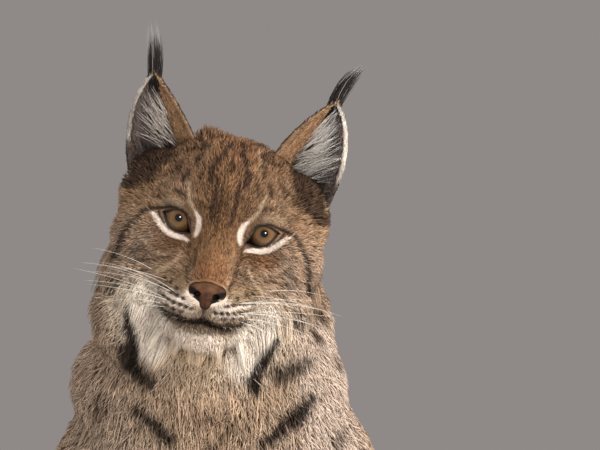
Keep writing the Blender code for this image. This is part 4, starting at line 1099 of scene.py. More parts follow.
skinPoints, skinNormals = vertexArray(skin.data), vertexArray(skin.data, "normal")
skinCorners, skinUv = skinArrays()
headFront = np.array(headDirection((0, 1, 0)))
earCoat = {
    "inside": (1.2, 6.0, 0.9, 1.7), "outside": (1.4, 6.0, 1.1, 1.9),  # depth, length, width, gap
    "trim": (0.5, 3.4, 0.65, 1.15), "trimFrom": 0.82,
    "inner": (0.085, 0.062, 0.052), "medial": (0.46, 0.275, 0.15), "medialFrom": (0.45, 0.15),
    "back": (0.06, 0.046, 0.038), "backPatch": (0.26, 0.21, 0.17), "patchSize": (1.2, 0.5, 0.3, 0.8),
    "foot": (-0.16, 0.16), "top": (0.86, 0.1),
    "rim": (0.33, 0.2, 0.115), "rimFrom": (0.86, 0.08),
    # The pale rim of the +x ear is painted lighter than the other's: painted light on the side that faces the
    # side light.
    "paleRims": {1: (0.62, 0.55, 0.48), -1: (0.38, 0.34, 0.31)},
    "paleRimOut": (0.955, 0.03), "paleRimUp": (0.3, 0.1),
}


def withEars(points, field):  # the ears' own coat
    on, inside, row = earAt(points)
    across, height = earRows[row, 9], earRows[row, 10]
    trim = on & (abs(across) > earCoat["trimFrom"])
    for mask, key in ((on & inside, "inside"), (on & ~inside, "outside"), (trim, "trim")):
        for size, value in zip(("depth", "length", "width", "gap"), earCoat[key]):
            field[size][mask] = value * mm
    field["lie"][on] = earRows[row, 6:9][on]
    inner = blend(np.array(earCoat["inner"]), fade(-across, *earCoat["medialFrom"]), earCoat["medial"])
    full, middle, tall, wide = earCoat["patchSize"]
    patch = np.clip(full - abs(height - middle) / tall - abs(across) / wide, 0, 1)[:, None]
    outer = blend(np.array(earCoat["back"]), patch, earCoat["backPatch"])
    outer = blend(outer, fade(-height, *earCoat["foot"]), field["colour"])
    inside = inside[:, None]
    colour = np.where(inside, inner, outer)
    # the rim is paler on the +x ear: painted light
    paleRim = np.where(earRows[row, 11:12] > 0, earCoat["paleRims"][1], earCoat["paleRims"][-1])
    lateral = fade(across, *earCoat["paleRimOut"]) * fade(height, *earCoat["paleRimUp"])
    colour = blend(colour, lateral, paleRim)
    colour = blend(colour, fade(-across, *earCoat["rimFrom"]) * inside, earCoat["rim"])
    colour = blend(colour, fade(height, *earCoat["top"]) * ~inside, tones["black"])
    field["colour"][on] = colour[on]
    return on


def scatter():
    triangles = skinPoints[skinCorners]
    centre = triangles.mean(axis=1)
    sides = triangles[:, 1:] - triangles[:, :1]
    area = np.linalg.norm(np.cross(sides[:, 0], sides[:, 1]), axis=1) / 2
    field = coatInParts(centre)
    withEyes(centre, field)
    withEars(centre, field)
    apart = np.where(centre[:, 2] < tufts["farBelow"], tufts["far"], tufts["near"])
    total = np.cumsum(area / (field["gap"] * apart) ** 2)
    count = int(total[-1])
    picked = np.searchsorted(total, np.arange(count) + rng.random(count) * 0.98)
    picked = np.minimum(picked, len(area) - 1)
    a, b = rng.random(count), rng.random(count)
    over = a + b > 1
    a[over], b[over] = 1 - a[over], 1 - b[over]
    share = np.stack([1 - a - b, a, b], axis=1)[:, :, None]
    places = (triangles[picked] * share).sum(axis=1)
    normals = unit((skinNormals[skinCorners[picked]] * share).sum(axis=1))
    return places, normals, (skinUv[picked] * share).sum(axis=1)


noseTree = treeOf(noseLeather)


# Where no coat grows, in millimetres: how far from the floor, the eye, the lid's edge and the nose leather
noCoat = {"floor": 1.5, "eye": 0.8, "lid": 0.9 * eyes["rimThick"], "nose": 0.7}


def bare(places):  # behind the lids, under the nose leather and on the floor
    local = inHead(places)
    found = places[:, 2] < noCoat["floor"] * mm
    for side in (1, -1):
        away = np.linalg.norm(local - (eyes["side"] * side, 0, 0), axis=1)
        found |= away < eyes["radius"] + noCoat["eye"]
    near = np.flatnonzero((local[:, 1] > 0) & (abs(local[:, 2]) < 20) & (abs(local[:, 0]) < 60))
    flat = np.stack([abs(local[near, 0]), local[near, 2]], axis=1)
    found[near] |= awayFromOpening(flat) < noCoat["lid"]
    near = np.flatnonzero((abs(local[:, 0]) < 20) & (local[:, 1] > 30) & (abs(local[:, 2] + 52) < 18))
    for i in near:
        place, out, _, away = noseTree.find_nearest(places[i])
        if away < noCoat["nose"] * mm or (Vector(places[i]) - place).dot(out) < 0:
            found[i] = True
    return found


roots, normals, rootUv = scatter()
keep = ~bare(roots)
roots, normals, rootUv = roots[keep], normals[keep], rootUv[keep]
field = coatInParts(roots)
withEyes(roots, field)
onEar = withEars(roots, field)
print("roots", len(roots))


def pickSpots():  # dark spots for the flanks and legs, kept apart
    low = (roots[:, 2] < bodySpots["below"]) & (roots[:, 2] > bodySpots["above"])
    outer = (abs(roots[:, 0]) > bodySpots["out"]) | (roots[:, 1] > bodySpots["behind"])
    pale = field["colour"][:, 2] > bodySpots["paleFrom"]
    chosen = []
    for i in rng.permutation(np.flatnonzero(low & outer & ~pale)):
        if all(np.linalg.norm(roots[i] - roots[j]) > bodySpots["apart"] for j in chosen):
            chosen.append(i)
        if len(chosen) == bodySpots["count"]:
            break
    sizes = rng.uniform(*bodySpots["radius"], len(chosen))
    return list(zip(roots[chosen], unit(field["lie"][chosen]), sizes))


spots = pickSpots()


def tangent(lies, normals):
    lies = lies - normals * (lies * normals).sum(axis=1, keepdims=True)
    return unit(lies + np.array((0, 0, -1e-4)))


def paintSkin():
    field = coatInParts(skinPoints)
    withEars(skinPoints, field)
    colour = coatColour(skinPoints, skinNormals @ headFront, field)
    pale = np.clip(colour.mean(axis=1, keepdims=True) / tufts["paleAt"], 0, 1)
    # The skin is painted darker than the coat's own colour: painted shade between the hairs.
    colourPoints(skin.data, "coatColour", colour * (0.58 + 0.36 * pale))  # darker than the tufts over it


paintSkin()
print("skin painted")


def clumpTips(tips):  # for each tip the nearest of some tips that lead small locks
    count = max(1, int(len(tips) * tufts["clumpShare"]))
    leaders = rng.choice(len(tips), count, replace=False)
    tree = nearTree(tips[leaders])
    nearest = np.array([tree.find(tip)[1] for tip in tips])
    return tips[leaders[nearest]]


def tuftColours(ahead, run, depth):  # each tuft's colour at a few shares of its length
    colour = []
    for s in tufts["colourAt"]:
        lift = depth * (1 - (1 - s) ** tufts["rise"])
        places = roots + ahead * (run * s)[:, None] + normals * lift[:, None]
        colour.append(coatColour(places, normals @ headFront, field))
    colour = np.stack(colour, axis=1)
    plain = np.clip(colour[:, 1].mean(axis=1) / tufts["plainAt"], 0, 1)
    uneven = rng.normal(0, tufts["uneven"], len(roots)) * (1 - tufts["plainEven"] * plain)
    bright = 1 + uneven.clip(*tufts["unevenMost"])
    share, patch, seed = tufts["oddPatch"]
    odd = rng.random(len(roots)) + share * cloud(roots, patch, seed)
    (most, less), (least, more) = tufts["litBy"], tufts["dimBy"]
    lit = np.where(odd > 1 - tufts["lit"], bright * (most - less * plain), bright)
    bright = np.where(odd < tufts["dim"], bright * (least + more * plain), lit)
    even = tufts["calmEven"]
    bright = bright * (1 - even * field["calm"]) + even * field["calm"]
    return colour * bright[:, None, None]


def growCoat():
    count = len(roots)
    ahead = tangent(field["lie"], normals)
    aside = np.cross(normals, ahead)
    lengths, turns = tufts["turn"]
    turn = rng.normal(0, 1, count) * np.interp(field["length"] / mm, lengths, turns)
    sway, patch, seed = tufts["sway"]
    turn = (turn + sway * cloud(roots, patch, seed)) * (1 - tufts["calmTurn"] * field["calm"])
    ahead = ahead * np.cos(turn)[:, None] + aside * np.sin(turn)[:, None]
    aside = np.cross(normals, ahead)
    length = field["length"] * (1 + rng.normal(0, tufts["lengthSpread"], count).clip(-0.5, 0.5))
    depth = field["depth"] * rng.uniform(*tufts["depthSpread"], count)
    depth = np.minimum(depth, length * tufts["deepest"])
    run = np.sqrt(length ** 2 - depth ** 2)
    tips = roots + ahead * run[:, None] + normals * depth[:, None]
    drawn = (clumpTips(tips) - tips) * tufts["clump"]
    size = np.linalg.norm(drawn, axis=1)
    limit = np.minimum(1, length * tufts["drawnMost"] / np.maximum(size, tiny))
    drawn *= (limit * (1 - field["calm"]))[:, None]
    bend = rng.normal(0, tufts["bend"], count) * length
    colour = tuftColours(ahead, run, depth)
    roll = rng.normal(0, tufts["roll"], count)
    ups = normals * np.cos(roll)[:, None] + aside * np.sin(roll)[:, None]
    local = inHead(roots)
    zones = {
        "ears": onEar,
        "face": ~onEar & (local[:, 2] > -74) & (local[:, 1] > -14) & (abs(local[:, 0]) < 82),
        "ruff": ~onEar & (local[:, 2] > -128) & (roots[:, 2] > 0.575) & (local[:, 1] > -62),
        "nape": ~onEar & (roots[:, 2] > 0.5) & (roots[:, 1] > -0.4),
        "chest": ~onEar & (roots[:, 2] > 0.36) & (roots[:, 1] < -0.33),
        "feet": (roots[:, 2] < 0.075),
        "legs": (roots[:, 2] < 0.33) & (roots[:, 1] < -0.2),
        "back": roots[:, 2] > 0.27,
        "haunches": np.ones(count, bool),
    }
    made, left = [], np.ones(count, bool)
    for zone, mask in zones.items():
        inZone = left & mask
        left &= ~mask
        for kind, rings in (("short", tufts["shortRings"]), ("long", tufts["longRings"])):
            isLong = field["length"] > tufts["longFrom"] * mm
            chosen = np.flatnonzero(inZone & (isLong if kind == "long" else ~isLong))
            perTuft = 6 * (len(rings) - 1) + 4
            most = tufts["most"] // perTuft
            for part, start in enumerate(range(0, len(chosen), most)):
                one = chosen[start:start + most]
                shares = np.array([ring[0] for ring in rings] + [1.0])
                lines = np.empty((len(one), len(shares), 3))
                for k, s in enumerate(shares):
                    lift = depth[one] * (1 - (1 - s) ** tufts["rise"]) - tufts["sunk"] * mm * (s == 0)
                    lines[:, k] = (
                        roots[one] + ahead[one] * (run[one] * s)[:, None] + normals[one] * lift[:, None]
                        + drawn[one] * s ** tufts["drawnPower"] + aside[one] * (bend[one] * s * s)[:, None]
                    )
                places = np.interp(shares, tufts["colourAt"], range(len(tufts["colourAt"])))
                low = np.minimum(places.astype(int), len(tufts["colourAt"]) - 2)
                between = (places - low)[None, :, None]
                ringColour = colour[one][:, low] * (1 - between) + colour[one][:, low + 1] * between
                widths = field["width"][one, None] * np.array([ring[1] for ring in rings])[None]
                shades = np.interp(shares, *tufts["shades"])
                name = f"coat_{zone}_{kind}" + (f"_{part + 1}" if len(chosen) > most else "")
                made.append(strandMesh(name, lines, widths, ups[one], ringColour, rootUv[one], shades))
    return made


coat = growCoat()
coatCounts = {piece.name: len(piece.data.polygons) for piece in coat}
print("coat", sum(coatCounts.values()), coatCounts)


# Longer locks of the ruff, the beard and the chest, each a bundle of strands
locks = {
    "headRows": {
        "ruff": (((74, -14, -26), (66, -2, -66), (26, 12, -92)),
                 ((86, -26, -60), (78, -10, -112), (32, 4, -121)), 8, 19, 7),
        "ruffBack": (((80, -34, -20), (80, -32, -60), (50, -14, -96)),
                     ((88, -50, -56), (92, -36, -112), (56, -16, -126)), 7, 21, 6),
        "cheek": (((68, 2, -40), (54, 10, -62), (34, 14, -80)),
                  ((78, -8, -72), (64, 6, -92), (38, 10, -108)), 4, 17, 6),
    },
    "beard": (((-15, 34, -86), (0, 42, -92), (15, 34, -86)),
              ((-17, 26, -106), (0, 34, -112), (17, 26, -106)), 3, 15, 4),
    "bodyRows": {
        "throat": (((-0.066, -0.262, 0.592), (0.066, -0.262, 0.592)), 5, (0, -0.1, -1), 0.06, 0.027),
        "bibTop": (((-0.084, -0.262, 0.556), (0.084, -0.262, 0.556)), 6, (0, -0.1, -1), 0.058, 0.028),
        "bibUpper": (((-0.066, -0.27, 0.492), (0.066, -0.27, 0.492)), 5, (0, 0, -1), 0.066, 0.028),
        "bibMiddle": (((-0.052, -0.27, 0.454), (0.052, -0.27, 0.454)), 4, (0, 0, -1), 0.068, 0.029),
        "bibLow": (((-0.06, -0.27, 0.414), (0.06, -0.27, 0.414)), 5, (0, 0, -1), 0.066, 0.028),
        "bibEnd": (((-0.036, -0.25, 0.372), (0.036, -0.25, 0.372)), 3, (0, 0.1, -1), 0.07, 0.03),
    },
    "bodyPairs": {
        "neckSide": (((0.092, -0.215, 0.582), (0.112, -0.11, 0.566)), 3, (0.1, 0.25, -1), 0.06, 0.032),
        "elbow": (((0.12, -0.066, 0.3), (0.126, -0.048, 0.345)), 2, (0.1, 0.35, -1), 0.048, 0.026),
    },
    "strands": 105, "thick": 0.65, "tip": 0.42, "reach": (0.35, 1.0),
    "bodyStrands": 22, "bodyThick": 0.75, "bodyTip": 0.9, "bodyReach": (0.25, 0.7),
    "steps": 5, "lift": 1, "across": 0.5, "deep": 0.35, "wave": 0.1, "taper": 0.8, "handle": 0.45,
    "uneven": 0.26, "unevenMost": (-0.5, 0.6), "plainAt": 0.4, "plainEven": 0.75, "longer": 0.12,
    # shades: painted shade, darker towards each strand's root
    "widths": (0.7, 1.0, 0.9, 0.6), "shades": (0.7, 0.9, 1.0, 1.08, 1.12),
}

skinTree = treeOf(skin)


def uvAt(place):  # where the skin's unwrap is nearest to a place
    index = skinTree.find_nearest(place)[2]
    start = skin.data.polygons[index].loop_start
    return np.array(skin.data.uv_layers["OFBake"].data[start].uv)


def lockStrands(three, width, out, count, atTip, reaches):
    lines, shares = [], np.linspace(0, 1, locks["steps"])
    root = Vector(three[0])
    side = out.cross(Vector(three[2]) - root).normalized()
    for _ in range(count):
        a = rng.uniform(-locks["across"], locks["across"])
        b = rng.uniform(-locks["deep"], locks["deep"])
        reach = rng.uniform(*reaches)
        wave = rng.normal(0, locks["wave"]) * width
        line = []
        for s in shares:
            spread = (1 - s) ** locks["taper"] * width * (1 - atTip) + atTip * width
            place = curvePoint(three, s * reach) + side * (a * spread + wave * math.sin(3 * s))
            line.append(place + out * b * spread * 0.6)
        lines.append(line)
    return lines


def growLocks():
    lines, ups, uvs, widths = [], [], [], []

    def add(three, width, out, count, thick, atTip, reaches):
        lines.extend(lockStrands(three, width, out, count, atTip, reaches))
        ups.extend([out] * count)
        uvs.extend([uvAt(Vector(three[0]))] * count)
        widths.extend([thick * mm] * count)

    rows = [(row, side) for row in locks["headRows"].values() for side in (1, -1)] + [(locks["beard"], 1)]
    for (rootCurve, tipCurve, count, width, bow), side in rows:
        for i in range(count):
            root, tip = (curvePoint(curve, i / (count - 1)) for curve in (rootCurve, tipCurve))
            root, tip = (headPoint((p.x * side, p.y, p.z)) for p in (root, tip))
            near, out = skinTree.find_nearest(root)[:2]
            three = (near - out * mm, near.lerp(tip, locks["handle"]) + out * bow * mm, tip)
            add(three, width * mm, out, locks["strands"], locks["thick"], locks["tip"], locks["reach"])
    rows = [(row, 1) for row in locks["bodyRows"].values()]
    rows += [(row, side) for row in locks["bodyPairs"].values() for side in (1, -1)]
    for (ends, count, lie, length, width), side in rows:
        start, end = (toSeat @ Vector((p[0] * side, p[1], p[2])) for p in ends)
        lie = Vector((lie[0] * side, lie[1], lie[2])).normalized()
        for i in range(count):
            near, out = skinTree.find_nearest(start.lerp(end, i / (count - 1)))[:2]
            longer = 1 + locks["longer"] * (i % 2)
            over, overOut = skinTree.find_nearest(near + lie * length * longer)[:2]
            depth = coatAt(np.array([over]))["depth"][0]
            tip = over + overOut * (depth + locks["lift"] * mm)
            handle = near.lerp(tip, locks["handle"]) + out * locks["lift"] * 1.6 * mm
            three = (near - out * mm, handle, tip)
            add(
                three, width, out, locks["bodyStrands"], locks["bodyThick"],
                locks["bodyTip"], locks["bodyReach"],
            )
    lines, ups, uvs = np.array(lines), np.array(ups), np.array(uvs)
    flat = lines.reshape(-1, 3)
    colour = coatColour(flat, np.full(len(flat), 1.0), coatInParts(flat)).reshape(len(lines), -1, 3)
    plain = np.clip(colour[:, 2, 1] / locks["plainAt"], 0, 1)
    uneven = rng.normal(0, locks["uneven"], len(lines)).clip(*locks["unevenMost"])
    colour *= (1 + uneven * (1 - locks["plainEven"] * plain))[:, None, None]
    thick = np.array(widths)[:, None] * np.array(locks["widths"])[None]
    return strandMesh("coat_locks", lines, thick, ups, colour, uvs, np.array(locks["shades"]))


coatLocks = growLocks()
print("locks", len(coatLocks.data.polygons))


earTuft = {
    "roots": {1: (70, -25, 104), -1: (72, -25, 101)}, "tips": {1: (85, -26, 146), -1: (78, -26, 143)},
    "wispTips": {1: (86, -26, 147), -1: (83, -26, 153)}, "sink": (-2.5, -8.0, -13.0),
    "strands": 190, "steps": 6, "spread": (3.4, 4.6, 4.4), "thick": 0.55, "reach": (0.64, 0.98),
    "wisps": 16, "wispThick": 0.5, "wispReach": (0.86, 0.99), "bow": {1: (-8, 0, 6), -1: (-1, 0, 0)},
    "colour": (0.03, 0.025, 0.024), "wispColour": (0.45, 0.42, 0.4),
    # shades: painted shade, darker towards each hair's root
    "widths": (1.0, 1.0, 0.95, 0.8, 0.5), "shades": (0.8, 0.9, 1, 1, 1.1, 1.2), "flat": 1.2,
}
earHairs = {
    "count": {1: 260, -1: 100}, "across": (-0.55, 0.0), "height": {1: (0.0, 0.52), -1: (0.1, 0.48)},
    "length": (20, 46), "shorter": 0.45, "rise": (0.18, 0.46), "lift": (4, 11), "thick": 0.4,
    "cup": 40, "acrossMost": 0.9, "heightMost": 0.93, "proud": 0.6, "bow": (0, 5, 3),
    # colour: the hairs of the -x ear are painted darker than those of the +x ear, painted shade on the side
    # away from the side light
    "colour": {1: (0.97, 0.89, 0.83), -1: (0.72, 0.65, 0.59)}, "bright": (0.55, 1.25),
    "darkCount": 130, "darkAcross": (-0.2, 0.7), "darkColour": (0.16, 0.13, 0.12),
    "shares": (0, 0.25, 0.5, 0.75, 1), "widths": (1.0, 1.0, 0.8, 0.5),
    # shades: painted shade, darker towards each hair's root
    "shades": (0.7, 0.9, 1, 1.05, 1.1), "flat": 0.8,
}


def growEarTufts():
    lines, ups, colours, uvs, widths = [], [], [], [], []
    shares = np.linspace(0, 1, earTuft["steps"])
    atRoot, halfWay, atTip = earTuft["spread"]
    for side in (1, -1):
        middle = Vector(earTuft["roots"][side])
        base = uvAt(headPoint((middle.x * side, middle.y, middle.z)))
        for i in range(earTuft["strands"]):
            wisp = i < earTuft["wisps"]
            angle, ring = rng.uniform(0, 2 * math.pi), math.sqrt(rng.random())
            spread = Vector((math.cos(angle), math.sin(angle), 0)) * ring
            root = middle + spread * atRoot + Vector(earTuft["sink"]) * rng.random()
            reach = rng.uniform(*earTuft["wispReach" if wisp else "reach"])
            end = Vector(earTuft["wispTips" if wisp else "tips"][side])
            tip = root.lerp(end + spread * atTip, reach)
            handle = root.lerp(tip, 0.5) + spread * halfWay + Vector(earTuft["bow"][side])
            lines.append(headCurve((root, handle, tip), shares, side))
            ups.append(headDirection((spread.x * side, spread.y, 0.01)))
            colours.append(earTuft["wispColour" if wisp else "colour"])
            uvs.append(base)
            widths.append(earTuft["thick"] * mm * (earTuft["wispThick"] if wisp else 1))
    thick = np.array(widths)[:, None] * np.array(earTuft["widths"])[None]
    return strandMesh(
        "ear_tufts", lines, thick, ups, colours, uvs, np.array(earTuft["shades"]), earTuft["flat"],
    )


def onLeaf(across, height, side):  # as leafPlace, before it is mirrored
    place = leafPlace(across, height, side)
    return Vector((abs(place.x), place.y, place.z))


def growEarHairs():  # long pale hairs that cross the cup from its inner edge, and dark ones among them
    lines, ups, colours, uvs = [], [], [], []
    for side in (1, -1):
        for count, across, tone in (
            (earHairs["count"][side], earHairs["across"], earHairs["colour"][side]),
            (earHairs["darkCount"], earHairs["darkAcross"], earHairs["darkColour"]),
        ):
            for _ in range(count):
                a, h = rng.uniform(*across), rng.uniform(*earHairs["height"][side])
                root = onLeaf(a, h, side)
                length = rng.uniform(*earHairs["length"]) * (1 - earHairs["shorter"] * h)
                lift = rng.uniform(*earHairs["lift"])
                reach = min(earHairs["acrossMost"], a + length / earHairs["cup"])
                top = min(earHairs["heightMost"], h + rng.uniform(*earHairs["rise"]))
                end = onLeaf(reach, top, side) + Vector((0, lift, 0))
                handle = root.lerp(end, 0.45) + Vector(earHairs["bow"])
                root = root + Vector((0, earHairs["proud"], 0))
                lines.append(headCurve((root, handle, end), earHairs["shares"], side))
                ups.append(headFront)
                colours.append(np.array(tone) * rng.uniform(*earHairs["bright"]))
                uvs.append(uvAt(lines[-1][0]))
    thick = np.full((len(lines), 1), earHairs["thick"] * mm) * np.array(earHairs["widths"])[None]
    return strandMesh(
        "ear_hairs", lines, thick, ups, colours, uvs, np.array(earHairs["shades"]), earHairs["flat"],
    )


whiskers = {
    # root (side, up), then where it ends (side, front, up), mirrored
    "rows": (
        ((35, -44.5), (96, 10, -37)), ((29.5, -46.8), (90, 18, -44)), ((37, -51.5), (104, 6, -47)),
        ((32, -51.8), (88, 14, -40)), ((27, -53.5), (98, 22, -50)), ((22, -55.2), (84, 26, -44)),
        ((17, -57), (76, 32, -48)), ((33.5, -58.6), (96, 12, -60)), ((28.5, -60), (106, 16, -54)),
        ((24, -61.2), (92, 24, -60)), ((19, -62.4), (82, 30, -56)), ((29, -64.6), (84, 16, -72)),
        ((23, -66.4), (70, 24, -78)),
    ),
    "thick": 0.48, "steps": 12, "thinnest": 0.25, "flat": 1.2, "sunk": 1.5, "uneven": 2.5,
    "bow": 7, "bowUneven": (0.6, 1.3), "colour": (0.8, 0.74, 0.66),
}


def growWhiskers():
    lines, ups, uvs = [], [], []
    steps, bow = whiskers["steps"], whiskers["bow"]
    for (across, up), end in whiskers["rows"]:
        for side in (1, -1):
            place, out = frontOf(skinTree, across * side, up)
            near = inHead(np.array([place]))[0]
            root = Vector((near[0], near[1] - whiskers["sunk"], near[2]))
            shift = Vector(rng.normal(0, whiskers["uneven"], 3))
            tip = Vector((end[0] * side, end[1], end[2])) + shift
            handle = root.lerp(tip, 0.45) + Vector((0, bow, bow * rng.uniform(*whiskers["bowUneven"])))
            lines.append(headCurve((root, handle, tip), np.linspace(0, 1, steps)))
            ups.append(out)
            uvs.append(uvAt(place))
    taper = np.linspace(1, whiskers["thinnest"], steps - 1)
    thick = np.full((len(lines), 1), whiskers["thick"] * mm) * taper[None]
    colours = np.tile(whiskers["colour"], (len(lines), 1))
    return strandMesh("whiskers", lines, thick, ups, colours, uvs, np.ones(steps), whiskers["flat"])


earTufts, innerHairs, longWhiskers = growEarTufts(), growEarHairs(), growWhiskers()
print("ear tufts, ear hairs and whiskers")


# Materials
def newMaterial(name, roughness=0.6, specular=0.3):
    made = bpy.data.materials.new(name)
    made.use_nodes = True
    nodes, links = made.node_tree.nodes, made.node_tree.links
    shader = nodes["Principled BSDF"]
    shader.inputs["Roughness"].default_value = roughness
    shader.inputs["Specular IOR Level"].default_value = specular
    return made, nodes, links, shader


def addNode(nodes, kind, **values):
    made = nodes.new(kind)
    for key, value in values.items():
        if hasattr(made, key):
            setattr(made, key, value)
        else:
            made.inputs[key].default_value = value
    return made


def mapped(nodes, links, value, low, high, start=0.0, end=1.0):
    made = addNode(nodes, "ShaderNodeMapRange")
    for key, number in (("From Min", start), ("From Max", end), ("To Min", low), ("To Max", high)):
        made.inputs[key].default_value = number
    links.new(value, made.inputs["Value"])
    return made.outputs["Result"]


def coloured(nodes, links, shader, colour, factor):  # the surface gets the colour times the factor
    mix = addNode(nodes, "ShaderNodeMix", data_type="RGBA", blend_type="MULTIPLY")
    mix.inputs["Factor"].default_value = 1.0
    links.new(colour, mix.inputs["A"])
    links.new(factor, mix.inputs["B"])
    links.new(mix.outputs["Result"], shader.inputs["Base Color"])


def bumped(nodes, links, shader, value, strength, distance):
    height = addNode(nodes, "ShaderNodeBump", Strength=strength, Distance=distance)
    links.new(value, height.inputs["Height"])
    links.new(height.outputs["Normal"], shader.inputs["Normal"])


def computed(nodes, links, operation, value, number):
    made = addNode(nodes, "ShaderNodeMath", operation=operation)
    made.inputs[1].default_value = number
    links.new(value, made.inputs[0])
    return made.outputs["Value"]


def furMaterial(name, scale, bump, roughness):
    made, nodes, links, shader = newMaterial(name, roughness, 0.1)
    colour = addNode(nodes, "ShaderNodeAttribute", attribute_name="coatColour")
    place = addNode(nodes, "ShaderNodeTexCoord")
    stretch = addNode(nodes, "ShaderNodeMapping")
    stretch.inputs["Scale"].default_value = (1, 1, 0.35)
    noise = addNode(nodes, "ShaderNodeTexNoise", Scale=scale, Detail=3.0, Roughness=0.6)
    links.new(place.outputs["Object"], stretch.inputs["Vector"])
    links.new(stretch.outputs["Vector"], noise.inputs["Vector"])
    light = mapped(nodes, links, noise.outputs["Fac"], lightRamp["low"], lightRamp["high"])
    coloured(nodes, links, shader, colour.outputs["Color"], light)
    bumped(nodes, links, shader, noise.outputs["Fac"], bump, 0.001)
    return made


def leatherMaterial():
    made, nodes, links, shader = newMaterial("nose leather", 0.58, 0.16)
    place = addNode(nodes, "ShaderNodeTexCoord")
    grain = addNode(nodes, "ShaderNodeTexVoronoi", Scale=1100.0)
    patch = addNode(nodes, "ShaderNodeTexNoise", Scale=180.0, Detail=4.0)
    colour = addNode(nodes, "ShaderNodeAttribute", attribute_name="leatherColour")
    links.new(place.outputs["Object"], grain.inputs["Vector"])
    links.new(place.outputs["Object"], patch.inputs["Vector"])
    light = mapped(nodes, links, patch.outputs["Fac"], 0.6, 1.35, 0.3, 0.7)
    coloured(nodes, links, shader, colour.outputs["Color"], light)
    bumped(nodes, links, shader, grain.outputs["Distance"], 0.5, 0.0004)
    return made


def darkSkinMaterial():
    made, nodes, links, shader = newMaterial("dark skin", 0.5, 0.25)
    place = addNode(nodes, "ShaderNodeTexCoord")
    noise = addNode(nodes, "ShaderNodeTexNoise", Scale=420.0, Detail=3.0)
    ramp = addNode(nodes, "ShaderNodeValToRGB")
    ramp.color_ramp.elements[0].color = (0.01, 0.007, 0.006, 1)
    ramp.color_ramp.elements[1].color = (0.034, 0.023, 0.018, 1)
    links.new(place.outputs["Object"], noise.inputs["Vector"])
    links.new(noise.outputs["Fac"], ramp.inputs["Fac"])
    links.new(ramp.outputs["Color"], shader.inputs["Base Color"])
    bumped(nodes, links, shader, noise.outputs["Fac"], 0.3, 0.0003)
    return made


iris = {
    "inner": (0.08, 0.042, 0.016), "middle": (0.132, 0.072, 0.028), "outer": (0.07, 0.038, 0.017),
    "edge": (0.012, 0.008, 0.006), "pupil": (0.001, 0.001, 0.001), "white": (0.03, 0.02, 0.016),
}


def eyeMaterial(name, side):
    made, nodes, links, shader = newMaterial(name, 0.5, 0.0)
    place = addNode(nodes, "ShaderNodeTexCoord")
    shift = addNode(nodes, "ShaderNodeVectorMath", operation="SUBTRACT")
    shift.inputs[1].default_value = headPoint((eyes["side"] * side + eyes["gaze"][0], 0, eyes["gaze"][1]))
    links.new(place.outputs["Object"], shift.inputs[0])
    parts = []
    for axis in (headDirection((1, 0, 0)), headDirection((0, 0, 1))):
        dot = addNode(nodes, "ShaderNodeVectorMath", operation="DOT_PRODUCT")
        dot.inputs[1].default_value = axis
        links.new(shift.outputs["Vector"], dot.inputs[0])
        parts.append(dot.outputs["Value"])
    across, rise = parts
    flat = addNode(nodes, "ShaderNodeCombineXYZ")
    links.new(across, flat.inputs["X"])
    links.new(rise, flat.inputs["Y"])
    length = addNode(nodes, "ShaderNodeVectorMath", operation="LENGTH")
    links.new(flat.outputs["Vector"], length.inputs[0])
    angle = addNode(nodes, "ShaderNodeMath", operation="ARCTAN2")
    links.new(rise, angle.inputs[0])
    links.new(across, angle.inputs[1])
    rays = addNode(nodes, "ShaderNodeCombineXYZ")
    links.new(computed(nodes, links, "MULTIPLY", angle.outputs["Value"], 9.0), rays.inputs["X"])
    links.new(computed(nodes, links, "MULTIPLY", length.outputs["Value"], 220.0), rays.inputs["Y"])
    noise = addNode(nodes, "ShaderNodeTexNoise", Scale=1.6, Detail=4.0, Roughness=0.65)
    links.new(rays.outputs["Vector"], noise.inputs["Vector"])
    scaled = computed(nodes, links, "DIVIDE", length.outputs["Value"], eyes["radius"] * mm)
    ramp = addNode(nodes, "ShaderNodeValToRGB")
    pupil, edge = eyes["pupil"] / eyes["radius"], eyes["iris"] / eyes["radius"]
    stops = (
        (0.0, "pupil"), (pupil - 0.01, "pupil"), (pupil + 0.02, "inner"), (0.44, "middle"),
        (0.6, "outer"), (edge - 0.03, "edge"), (edge + 0.02, "edge"), (edge + 0.07, "white"),
    )
    elements = ramp.color_ramp.elements
    while len(elements) < len(stops):
        elements.new(0.5)
    for element, (position, tone) in zip(elements, stops):
        element.position = position
        element.color = (*iris[tone], 1)
    links.new(scaled, ramp.inputs["Fac"])
    light = mapped(nodes, links, noise.outputs["Fac"], 0.62, 1.45, 0.3, 0.7)
    coloured(nodes, links, shader, ramp.outputs["Color"], light)
    shader.inputs["Coat Weight"].default_value = 0.65
    shader.inputs["Coat Roughness"].default_value = 0.02
    return made


coatFinish = furMaterial("coat fur", 900.0, 0.25, 0.62)
skinFinish = furMaterial("skin fur", 700.0, 0.8, 0.75)
blackFinish = furMaterial("black hair", 900.0, 0.2, 0.5)
whiskerFinish = furMaterial("whisker", 300.0, 0.05, 0.4)
leather, darkSkin = leatherMaterial(), darkSkinMaterial()


def dress(obj, material):
    obj.data.materials.clear()
    obj.data.materials.append(material)
    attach(obj, "root")


dress(skin, skinFinish)
for piece in coat:
    dress(piece, coatFinish)
dress(coatLocks, coatFinish)
dress(earTufts, blackFinish)
dress(innerHairs, coatFinish)
dress(longWhiskers, whiskerFinish)
dress(noseLeather, leather)
dress(lips, darkSkin)
for ball, side in zip(eyeBalls, (1, -1)):
    dress(ball, eyeMaterial("iris " + ball.name, side))
for rim in eyeRims:
    dress(rim, darkSkin)

fleshNodes = [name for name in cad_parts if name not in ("eye_left", "eye_right", "nose")]
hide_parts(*fleshNodes)
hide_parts("nose")
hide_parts("eye_left")
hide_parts("eye_right")
print("finishes")


